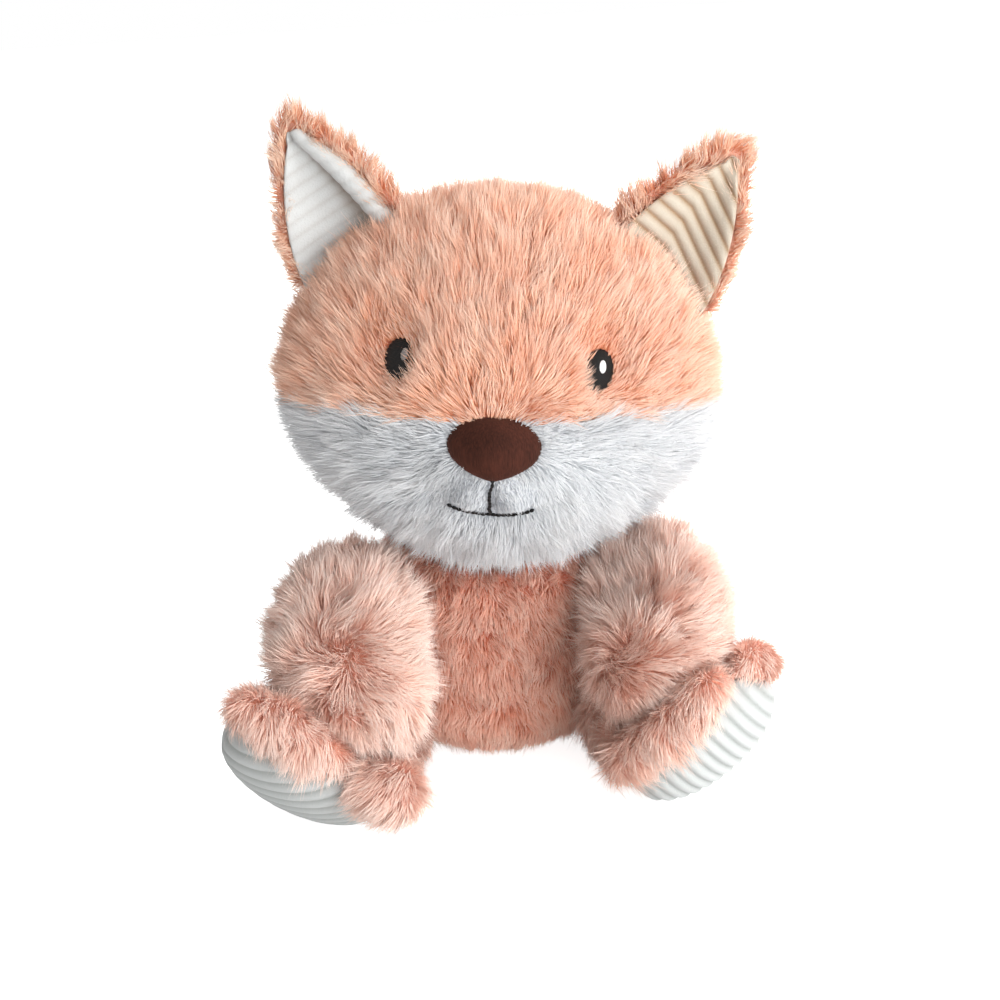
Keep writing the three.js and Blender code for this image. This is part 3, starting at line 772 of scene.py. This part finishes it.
def ear_lining(side):
    show = rib_show[side]

    def face(p, q):
        past_kink = (2 * p - 1) * lining_half(q)[0] - rib_kink
        slant = rib_slant[side] * (1 if past_kink > 0 else rib_slant_share)
        high = wale(ear_rib_share * (q * ear_height + slant * past_kink) / math.hypot(1, rib_slant[side]))
        edge = 1 - abs(2 * p - 1) ** 8
        ahead = lining_lift + lining_thickness * edge + rib_relief * show * high * edge
        # the colour share: low on the ribs it turns to the valleys' painted shade
        pale = 1 - show * (1 - high)
        # a dark band beside the rolled rim, toward the valley colour: the rim's painted shadow on the
        # hollow under it
        if side == "right":
            pale -= 0.7 * math.exp(-(((2 * p - 1 + 0.5) / 0.22) ** 2))
        return ear_spot(side, p, q, ahead), pale

    def back(p, q):
        return ear_spot(side, p, q, lining_lift / 2), 0.4

    rows = round(ear_height / rib_pitch * ear_rows_per_rib)
    names = f"ear_corduroy_{side}", f"ear_{side}"
    return ribbed_panel(*names, ear_columns, rows, face, back, ear_cloth[side], f"ear_lining_{side}")


def rolled_rim(side, radius=3.7, knob_height=0.55, knobs=46, around=20, along=96):
    """The slack inner edge of a lining: a tapering tube whose ribs show as knobs at its end."""
    spots, high = [], []
    for j in range(along + 1):
        share = j / along
        v = 0.985 - 0.95 * share
        half, leaf = lining_half(v)
        knob = wale(share * knobs) * knob_height * (0.35 + 1.3 * share**3)
        swelling = math.sin(math.pi * min(0.97, 0.04 + 0.93 * share)) ** 0.45
        thick = radius * (0.05 + 0.95 * swelling) + knob
        for i in range(around):
            turn = 2 * math.pi * i / around
            across = -0.8 * half + thick * math.cos(turn)
            ahead = ear_cup * 0.64 * leaf + 2.6 + thick * math.sin(turn)
            spots.append(ear_place(side, across, v * (ear_height - ear_hem), ahead))
            # between the knobs the colour takes some of the valleys' painted shade
            high.append(1 - 0.3 * share * (1 - wale(share * knobs)))
    faces = ring_faces(along, around)
    faces += [tuple(range(around)), tuple(reversed(range(along * around, (along + 1) * around)))]
    panel_piece(f"ear_rolled_rim_{side}", spots, faces, high, f"ear_{side}", ear_cloth[side])


linings = {side: ear_lining(side) for side in hands}
rolled_rim("right")

# %% [markdown]
# A sole is an oval cushion that bulges from the end of the foot, with its ribs across the foot. Its solid
# says where it lies: the foot points out, forwards and down, and each leg was laid down with a small turn
# and twist.

# %% Soles
hip = Vector((36, -43 / 4, 20))
foot_half_length, foot_half_width, foot_half_span, foot_reach = 33, 30, 70, 65
sole_hem, sole_thickness, sole_dome, seat_flat = 6, 2.4, 13.5, 0.5
solid_sole_dome = 13
sole_rows_per_rib, sole_columns = 9, 70
sole_half_length, sole_half_width = foot_half_length - sole_hem / 2, foot_half_width - sole_hem
sole_normal = Vector((0.55, -0.6, -0.58)).normalized()
sole_long = Vector((0.68, -0.05, 0.7))
sole_long = (sole_long - sole_normal * sole_long.dot(sole_normal)).normalized()
sole_across = sole_normal.cross(sole_long)
leg_turn = {"left": -9, "right": -3}
leg_twist = {"left": 0, "right": 12}
rib_turn = {"left": math.radians(-12), "right": math.radians(44)}
sole_centre = Vector((foot_half_span, -foot_reach, foot_half_width))


def mirrored(place, side):
    return Vector((place.x * hands[side], place.y, place.z))


def laid_down(side):
    """The turn that laid a leg down, as a matrix about its hip."""
    pivot = mirrored(hip, side)
    length = (mirrored(sole_centre, side) - pivot).normalized()
    twist = Matrix.Rotation(math.radians(leg_twist[side]), 4, length)
    about = Matrix.Translation(pivot) @ Matrix.Rotation(math.radians(leg_turn[side]), 4, "Z") @ twist
    return about @ Matrix.Translation(-pivot)


def sole_ways(side):
    """The directions along, across and out of a sole."""
    turn = laid_down(side).to_3x3()
    return [turn @ mirrored(way, side) for way in (sole_long, sole_across, sole_normal)]


def sole_spot(side, a, b, height):
    spot = sole_centre + sole_long * (a * sole_half_length) + sole_across * (b * sole_half_width)
    return laid_down(side) @ mirrored(spot + sole_normal * height, side)


def sole_cushion(side):
    def place(p, q, height):
        a = (2 * q - 1) * 0.985
        b = (2 * p - 1) * math.sqrt(1 - a * a)
        spot = sole_spot(side, a, b, height(a, b)) * MM
        spot.z = max(spot.z, 0.2 * MM)
        return spot

    def face(p, q):
        a = (2 * q - 1) * sole_half_length
        b = (2 * p - 1) * math.sqrt(1 - min(1, (2 * q - 1) ** 2)) * sole_half_width
        # the rib height also sets the colour, with painted shade in the valleys
        high = wale(a * math.cos(rib_turn[side]) + b * math.sin(rib_turn[side]) + sole_half_length)
        rim = lambda a, b: max(0, 1 - a * a - b * b)
        height = lambda a, b: 0.4 + sole_thickness * rim(a, b) ** 0.2 + sole_dome * rim(a, b) ** 0.45
        return place(p, q, lambda a, b: height(a, b) + rib_relief * high * min(1, 6 * rim(a, b))), high

    def back(p, q):
        return place(p, q, lambda a, b: -1.0), 0.4

    rows = round(2 * sole_half_length / rib_pitch * sole_rows_per_rib)
    names = f"sole_cushion_{side}", f"leg_{side}"
    made = ribbed_panel(*names, sole_columns, rows, face, back, sole_corduroy, f"sole_pad_{side}")
    return made


def in_sole_frame(side, places):
    """For each place, its shares along and across the sole and its height over it in millimetres."""
    from_middle = places / MM - np.array(laid_down(side) @ mirrored(sole_centre, side))
    a, b, height = (from_middle @ np.array(way) for way in sole_ways(side))
    return a / sole_half_length, b / sole_half_width, height


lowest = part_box("sole_pad_left")[0][2] / MM
steps = np.linspace(-1, 1, 41)
within = [(a, b, max(0, 1 - a * a - b * b)) for a in steps for b in steps if a * a + b * b <= 1]
dome = lambda rim: sole_thickness + solid_sole_dome * math.sqrt(rim)
steepest = min(sole_spot("left", a, b, dome(rim)).z for a, b, rim in within)
sole_centre.z -= steepest + seat_flat - lowest
print(f"the middle of the sole lies {sole_centre.z:.1f} mm up")
soles = {side: sole_cushion(side) for side in hands}

# %% [markdown]
# The fur of each foot is stuffed harder than its sole, so it bulges over the seam, most of all along the
# top of the sole and at the toes or heel. Each bulge is a lump of filling, given in the sole's frame: its
# place in shares of the sole's half length and half width and in millimetres over the sole, then its half
# sizes in the same ways.

# %% Legs with their bulges over the soles
bulges = {
    "right": [((0.4, 0.93, 0), (26, 11, 9)), ((-0.8, 1.0, 2), (12, 12, 11))],
    "left": [((0.05, 0.97, -2), (30, 9, 9)), ((1.0, 0.0, -4), (9, 13, 9))],
}
lowest_skin = 1.5 * MM


def bulge_shape(side, share, half_sizes):
    shape = Matrix(sole_ways(side)).transposed() @ Matrix.Diagonal([half * MM for half in half_sizes])
    return Matrix.Translation(sole_spot(side, *share) * MM) @ shape.to_4x4()


for side in hands:
    leg, nodes = f"leg_{side}", [f"leg_fur_{side}", f"leg_stuffing_{side}"]
    lumps = [bulge_shape(side, *bulge) for bulge in bulges[side]]
    forms[leg] = stuffed(f"leg_form_{side}", leg, nodes, 3 * MM, smooth=3, lumps=lumps)
    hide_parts(f"leg_stuffing_{side}")
    places = coordinates(forms[leg].data)
    places[:, 2] = np.maximum(places[:, 2], lowest_skin)
    move_points(forms[leg].data, places)
    trees[leg] = tree_of(forms[leg])

# %% [markdown]
# Fur lies in a direction. On the head it runs away from the nose and stands up on the brow. On the torso it
# hangs, on each paw it leaves a whorl, and on a leg, an ear and the tail it runs to the end. Each form
# carries that direction, its pile's length and how dense it grows. Where the direction turns the fibres
# stand up, and where a neighbour is near the pile is pressed short.


# %% Lie of the fur
def along_each(vectors, ways):
    return np.sum(vectors * ways, axis=1, keepdims=True)


def tangent(vectors, normals):
    flat = vectors - normals * along_each(vectors, normals)
    return flat / np.maximum(lengths(flat), 1e-9)


def wander(places, size, seed):
    shift = Vector((seed * 7.3, seed * 3.1, seed * 5.7))
    return np.array([noise.noise_vector(Vector(p) / size + shift) for p in places])


def distance_to(tree, places, limit=0.02):
    far = []
    for place in places:
        hit = tree.find_nearest(Vector(place), limit)
        far.append(limit if hit[0] is None else hit[3])
    return np.array(far)


def room_about(name, places):
    if name.startswith("ear"):
        return distance_to(trees["head"], places)
    others = [other for other in forms if other != name and not other.startswith("ear")]
    return np.min([distance_to(trees[other], places) for other in others], axis=0)


def smooth_step(t):
    t = np.clip(t, 0, 1)
    return t * t * (3 - 2 * t)


def give(mesh, name, kind, values):
    attribute = mesh.attributes.get(name) or mesh.attributes.new(name, kind, "POINT")
    field = "vector" if kind == "FLOAT_VECTOR" else "value"
    attribute.data.foreach_set(field, np.asarray(values, np.float32).ravel())


def everywhere(places):
    return np.ones(len(places))


def comb(name, flow, length, density=everywhere, strays=0.35, lean=everywhere):
    mesh = forms[name].data
    places, normals = coordinates(mesh), coordinates(mesh, "normal")
    loose = strays * (wander(places, 0.012, 1) + 0.6 * wander(places, 0.005, 2))
    lie = tangent(flow(places, normals), normals) + loose
    lie -= normals * along_each(lie, normals)
    size = lengths(lie)
    lie *= smooth_step(size / 0.8) * lean(places)[:, None] / np.maximum(size, 1e-6)
    pile = np.minimum(length(places), 1.5 * MM + 0.75 * room_about(name, places))
    give(mesh, "comb", "FLOAT_VECTOR", lie)
    give(mesh, "pile", "FLOAT", pile)
    give(mesh, "density", "FLOAT", density(places))


fur_source = np.array((0, -30, 128))


def head_flow(places, normals):
    flat = upright(places)
    front = np.clip((-flat[:, 1] - 5) / 30, 0, 1)
    from_nose = (flat - np.array((0, 0, nose_level))) * (1, 0, 1)
    far = np.linalg.norm(from_nose, axis=1)
    pull = np.exp(-((far / 40) ** 2)) * front / np.maximum(far, 10)
    away = (flat - fur_source) / 35 + from_nose * pull[:, None]
    high = above_seam(places)
    away[:, 2] += (0.9 * smooth_step(high / 16) + 0.25 * (high < 0) * np.exp(-((high / 9) ** 2))) * front
    away[:, 2] -= 0.35 * smooth_step((-high - 8) / 16) * front
    away[:, 2] -= 1.2 * np.clip((flat[:, 1] - 10) / 30, 0, 1)
    return away @ turn_only.T


def front_ring(flat, x, z, wide, high):
    """How far a place on the front lies from a spot, in shares of an ellipse."""
    far = np.sqrt(((flat[:, 0] - x) / wide) ** 2 + ((flat[:, 2] - z) / high) ** 2)
    return np.where(flat[:, 1] < 0, far, 9)


def head_length(places):
    flat = upright(places)
    pile = np.full(len(places), 10.5 * MM)
    by_nose = smooth_step(front_ring(flat, 0, 131, 19, 15) - 0.75) * 0.6 + 0.4
    lips_short = smooth_step((front_ring(flat, 0, 117.5, 15, 10) - 0.9) * 1.3) * 0.8 + 0.2
    pile *= np.minimum(by_nose, lips_short)
    for hand in hands.values():
        by_eye = front_ring(flat, hand * eye_half_span, eye_level, 7, 9)
        pile *= smooth_step((by_eye - 0.8) * 0.9) * 0.6 + 0.4
    return pile


def head_density(places):
    flat = upright(places)
    over, beside = over_smile(flat), np.abs(flat[:, 0])
    on_smile = (over > -1.3) & (over < 2.2) & (beside < smile_half_width)
    on_philtrum = (beside < 1.2) & (flat[:, 2] > smile_level) & (flat[:, 2] < nose_level)
    keep = front_ring(flat, 0, nose_level, nose_half_width * 0.92, nose_half_height * 0.9) > 1
    keep &= ~((on_smile | on_philtrum) & (flat[:, 1] < 0))
    for side, hand in hands.items():
        keep &= front_ring(flat, hand * eye_half_span, eye_level, eye_half_width, eye_half_height) > 1
        keep &= distance_to(trees[f"ear_{side}"], places) > 3 * MM
    return keep.astype(float)


comb("head", head_flow, head_length, head_density, 0.55)
steady = lambda size: lambda places: np.full(len(places), size * MM)
hanging = np.array((0, 0, -1.0))
comb("torso", lambda places, normals: hanging + places * [1.2, 1.2, 0], steady(6.2), strays=0.9)

toe_trim = {"left": 0.45, "right": 0.15}
whorl_pixels = {"left": (620, 640), "right": (335, 655)}
for side, hand in hands.items():
    whorl = np.array(trees[f"arm_{side}"].ray_cast(stand, sight_line(*whorl_pixels[side]))[0])

    def arm_flow(places, normals):
        away = places - whorl
        far = lengths(away)
        swirl = np.cross(normals, away / np.maximum(far, 1e-6))
        return away + swirl * 0.5 * hand * 12 * MM * np.exp(-((far / (25 * MM)) ** 2))

    def arm_lean(places):
        return 0.15 + 0.85 * smooth_step(np.linalg.norm(places - whorl, axis=1) / (12 * MM))

    comb(f"arm_{side}", arm_flow, steady(10), strays=1.3, lean=arm_lean)

    sole_tree = tree_of(soles[side])
    toe_way = np.array(sole_ways(side)[2])
    foot_middle = np.array(laid_down(side) @ mirrored(sole_centre, side)) * MM

    def leg_flow(places, normals):
        from_middle = places - foot_middle
        along = from_middle @ toe_way
        outward = from_middle - along[:, None] * toe_way
        outward /= np.maximum(lengths(outward), 1e-6)
        facing = np.clip(0.3 + along_each(normals, outward), 0, 1)
        near_sole = np.clip(along / (4 * MM) + 1, 0, 1)[:, None]
        return toe_way * facing - 0.9 * near_sole * outward + np.array((0, 0, -0.3))

    def leg_density(places):
        a, b, height = in_sole_frame(side, places)
        rim = np.maximum(0, 1 - a * a - b * b)
        dome = sole_thickness * rim**0.2 + sole_dome * rim**0.45
        under = (rim > 0) & (height < dome + 0.5) & (height > -4)
        return (~under & (distance_to(sole_tree, places) > 1.0 * MM)).astype(float)

    def leg_length(places):
        a, b, height = in_sole_frame(side, places)
        toes_short = 1 - toe_trim[side] * smooth_step((a - 0.5) / 0.5)
        floor_short = 0.45 + 0.55 * smooth_step(places[:, 2] / (22 * MM))
        return 8.5 * MM * toes_short * floor_short

    comb(f"leg_{side}", leg_flow, leg_length, leg_density, 1.2)

    lining_tree = tree_of(linings[side])
    base = np.array(in_head((ear_base.x * hand, ear_base.y, ear_base.z - 6)))
    outer_way = np.array(ear_place(side, 1, 0, 0) - ear_place(side, 0, 0, 0)) / MM

    def ear_density(places):
        return (distance_to(lining_tree, places) > 1.8 * MM).astype(float)

    def ear_length(places):
        outer = smooth_step(((places - base) @ outer_way / MM + 4) / 14)
        return (8.5 - 3.5 * outer) * MM

    comb(f"ear_{side}", lambda places, normals: (places - base) / 40 / MM, ear_length, ear_density, 1.3)

tail_end = np.array((0, 78, 90)) * MM
comb("tail", lambda places, normals: (tail_end - places) / 30 / MM, steady(10), strays=0.4)

# %% [markdown]
# The pile is made by Geometry Nodes, because it repeats over a surface. Points are scattered over a form,
# each gets a blade, and a few sums lay it: up along the form's normal, over along its lie, towards the
# middle of its wisp and of its tuft, swaying with its wisp, and a little astray. The blade's map is written
# last.


# %% Points of the pile
def stored(tree, geometry, label, value, kind="FLOAT", domain="POINT"):
    links = {"Geometry": geometry, "Name": label, "Value": value}
    return add(tree, "GeometryNodeStoreNamedAttribute", links, data_type=kind, domain=domain)


def scattered(tree, form, density, seed):
    links = {"Mesh": form, "Density": density, "Seed": seed}
    return add(tree, "GeometryNodeDistributePointsOnFaces", links)


pile_inputs = (
    ("Form", "Geometry", None),
    ("Fibres per square metre", "Float", 4.5e6),
    ("Fibre width", "Float", 0.33 * MM),
    ("Wisps per square metre", "Float", 2.6e5),
    ("Wisps pull", "Float", 0.34),
    ("Tufts per square metre", "Float", 1.2e4),
    ("Tufts pull", "Float", 0.07),
    ("Lay", "Float", 0.68),
    ("Sway", "Float", 1.25),
    ("Astray", "Float", 0.2),
    ("Seed", "Int", 1),
    ("Fibre", "Material", None),
)
pile, pile_keys, given = new_group("sewn_pile", pile_inputs, "Pile")
read_density = add(pile, "GeometryNodeInputNamedAttribute", {"Name": "density"}, data_type="FLOAT")
wanted = reckon(pile, "MULTIPLY", given["Fibres per square metre"], read_density)
scatter = scattered(pile, given["Form"], wanted, given["Seed"])
place = add(pile, "GeometryNodeInputPosition")
middles, to_middle = {}, {}
for group, seed in (("Wisps", 77), ("Tufts", 78)):
    sown = scattered(pile, given["Form"], given[f"{group} per square metre"], seed)
    links = {"Geometry": sown, "Sample Position": place}
    nearest = add(pile, "GeometryNodeSampleNearest", links, domain="POINT")
    links = {"Geometry": sown, "Value": place, "Index": nearest}
    middles[group] = add(pile, "GeometryNodeSampleIndex", links, data_type="FLOAT_VECTOR", domain="POINT")
    way = reckon_ways(pile, "SUBTRACT", middles[group], place)
    to_middle[group] = scaled(pile, way, given[f"{group} pull"])
gathered = reckon_ways(pile, "ADD", to_middle["Wisps"], to_middle["Tufts"])
breeze = speckle(pile, middles["Wisps"], 210, 2).outputs["Color"]
breeze = scaled(pile, reckon_ways(pile, "SUBTRACT", breeze, (0.5, 0.5, 0.5)), given["Sway"])
spread = {"Min": (-1, -1, -1), "Max": (1, 1, 1), "Seed": 5}
stray = add(pile, "FunctionNodeRandomValue", spread, data_type="FLOAT_VECTOR")
chance = add(pile, "FunctionNodeRandomValue", {"Seed": 9}, data_type="FLOAT").outputs["Value"]
shade = reckon(pile, "MULTIPLY_ADD", chance, 0.4, -0.15)
tint = reckon(pile, "MULTIPLY_ADD", speckle(pile, middles["Wisps"], 110, 3), 1.2, shade)
points = scatter.outputs["Points"]
for label, value in (
    ("root", place),
    ("out", scatter.outputs["Normal"]),
    ("wisp", gathered),
    ("sway", breeze),
    ("stray", stray),
):
    points = stored(pile, points, label, value, "FLOAT_VECTOR")
points = stored(pile, points, "chance", chance)
points = stored(pile, points, "tint", tint)

# %% The blade, a strip of two faces that narrows to one point
strip = add(pile, "GeometryNodeMeshGrid", {"Size X": 1, "Size Y": 1, "Vertices X": 2, "Vertices Y": 3})
spot = add(pile, "ShaderNodeSeparateXYZ", {0: place})
height = reckon(pile, "ADD", spot.outputs["Y"], 0.5)
narrow = reckon(pile, "SUBTRACT", 1.0, reckon(pile, "POWER", height, 2.0))
half = reckon(pile, "MULTIPLY", spot.outputs["X"], narrow)
blade = stored(pile, strip.outputs["Mesh"], "side", half)
blade = stored(pile, blade, "height", height)
point = add(pile, "ShaderNodeCombineXYZ", {"X": half, "Z": height})
blade = add(pile, "GeometryNodeSetPosition", {"Geometry": blade, "Position": point})
blade = add(pile, "GeometryNodeMergeByDistance", {"Geometry": blade, "Distance": 0.0001})
blades = add(pile, "GeometryNodeInstanceOnPoints", {"Points": points, "Instance": blade})
strands = add(pile, "GeometryNodeRealizeInstances", {"Geometry": blades})

# %% The lay of each blade
directions = ("root", "out", "wisp", "sway", "stray", "comb")
numbers = ("chance", "tint", "pile", "side", "height")
reads = {}
for label in directions + numbers:
    kind = "FLOAT_VECTOR" if label in directions else "FLOAT"
    reads[label] = add(pile, "GeometryNodeInputNamedAttribute", {"Name": label}, data_type=kind)


def times(first, second, plus=None):
    terms = (first, second) if plus is None else (first, second, plus)
    return reckon(pile, "MULTIPLY" if plus is None else "MULTIPLY_ADD", *terms)


length = times(times(reads["chance"], 0.55, 0.7), reads["pile"])
curve = times(reads["height"], reads["height"])
lift = times(times(curve, times(given["Lay"], -0.45), reads["height"]), length)
bend = times(curve, 0.65, times(reads["height"], 0.35))
over = times(times(bend, given["Lay"]), length)
gather = times(times(bend, length), 1 / (10 * MM))
swing = times(curve, length)
loose = times(swing, given["Astray"])
across = reckon_ways(pile, "CROSS_PRODUCT", reads["out"], reads["comb"])
flat = reckon_ways(pile, "NORMALIZE", reckon_ways(pile, "ADD", across, scaled(pile, reads["stray"], 0.6)))
width = times(reads["side"], given["Fibre width"])
total = reads["root"]
for direction, amount in (
    (reads["out"], lift),
    (reads["comb"], over),
    (reads["wisp"], gather),
    (reads["sway"], swing),
    (reads["stray"], loose),
    (flat, width),
):
    total = reckon_ways(pile, "ADD", total, scaled(pile, direction, amount))
above = add(pile, "ShaderNodeSeparateXYZ", {0: total}).outputs
kept_up = reckon(pile, "MAXIMUM", above["Z"], 0.5 * MM)
landed = add(pile, "ShaderNodeCombineXYZ", {"X": above["X"], "Y": above["Y"], "Z": kept_up})
strands = add(pile, "GeometryNodeSetPosition", {"Geometry": strands, "Position": landed})
shade_place = add(pile, "ShaderNodeClamp", {0: reads["tint"], 1: 0.03, 2: 0.97})
height_place = add(pile, "ShaderNodeClamp", {0: reads["height"], 1: 0.03, 2: 0.97})
map_place = add(pile, "ShaderNodeCombineXYZ", {"X": shade_place, "Y": height_place})
strands = stored(pile, strands, "OFBake", map_place, "FLOAT2", "CORNER")
strands = add(pile, "GeometryNodeSetMaterial", {"Geometry": strands, "Material": given["Fibre"]})
add(pile, "NodeGroupOutput", {0: strands})
print("nodes in the pile's tree:", len(pile.nodes))

# %% Growing the pile on each form
totals = []


def grow(name, form, keep, material, node, slot, seed, **inputs):
    """The fibres of one region of a form: keep says how much of them each point of the form has."""
    mesh = forms[form].data
    density = np.empty(len(mesh.vertices))
    mesh.attributes["density"].data.foreach_get("value", density)
    give(mesh, "density", "FLOAT", density * keep(coordinates(mesh)))
    piece = placed(name, mesh)
    modifier = tune(piece.modifiers.new("pile", "NODES"), node_group=pile)
    for label, value in {"Seed": seed, "Fibre": material, **inputs}.items():
        modifier[pile_keys[label]] = value
    made = evaluated_copy(piece)
    for label in [*reads, "density"]:
        if label in made.attributes:
            made.attributes.remove(made.attributes[label])
    piece.modifiers.clear()
    piece.data = made
    give(mesh, "density", "FLOAT", density)
    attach(piece, form)
    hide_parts(node)
    totals.append(sum(len(p.vertices) - 2 for p in made.polygons))
    print(f"{name}: {totals[-1]} triangles")


def below_crown(places, behind):
    return (above_seam(places) <= 0) * ((behind_seam(places) >= 0) == behind)


for side, hand in hands.items():
    half_here = lambda places: upright(places)[:, 0] * hand >= 0
    crown = lambda places: (above_seam(places) > 0) * half_here(places)
    face = lambda places: below_crown(places, False) * half_here(places)
    grow(f"crown_pile_{side}", "head", crown, peach_pile, "crown_fur", "peach_fur", 11 + hand)
    grow(f"face_pile_{side}", "head", face, white_pile, "face_fur", "white_fur", 21 + hand)
    for part, node, material, seed in (
        ("arm", "arm_fur", rose_pile, 31),
        ("leg", "leg_fur", rose_pile, 41),
        # the ears' pile is the head's peach painted paler: painted light
        ("ear", "ear_back", peach_pile_painted_light, 51),
    ):
        name, form, node = f"{part}_pile_{side}", f"{part}_{side}", f"{node}_{side}"
        grow(name, form, everywhere, material, node, "peach_fur", seed + hand, Sway=1.8)
behind = lambda places: below_crown(places, True)
grow("head_back_pile", "head", behind, peach_pile, "head_back_fur", "peach_fur", 61)
for part, way in (("front", -1), ("back", 1)):
    half_here = lambda places: places[:, 1] * way > 0
    grow(f"torso_pile_{part}", "torso", half_here, coral_pile, "torso_fur", "peach_fur", 71 + way)
tip_seam, tip_way = np.array((0, 77.6, 44.2)) * MM, np.array((0, 0.257, 0.966))
past_tip_seam = lambda places: (places - tip_seam) @ tip_way > 0
before_tip_seam = lambda places: ~past_tip_seam(places)
grow("tail_pile", "tail", before_tip_seam, peach_pile, "tail_fur", "peach_fur", 81)
grow("tail_tip_pile", "tail", past_tip_seam, white_pile, "tail_tip_fur", "white_fur", 82)
print("pile in all:", sum(totals), "triangles, the largest piece", max(totals))
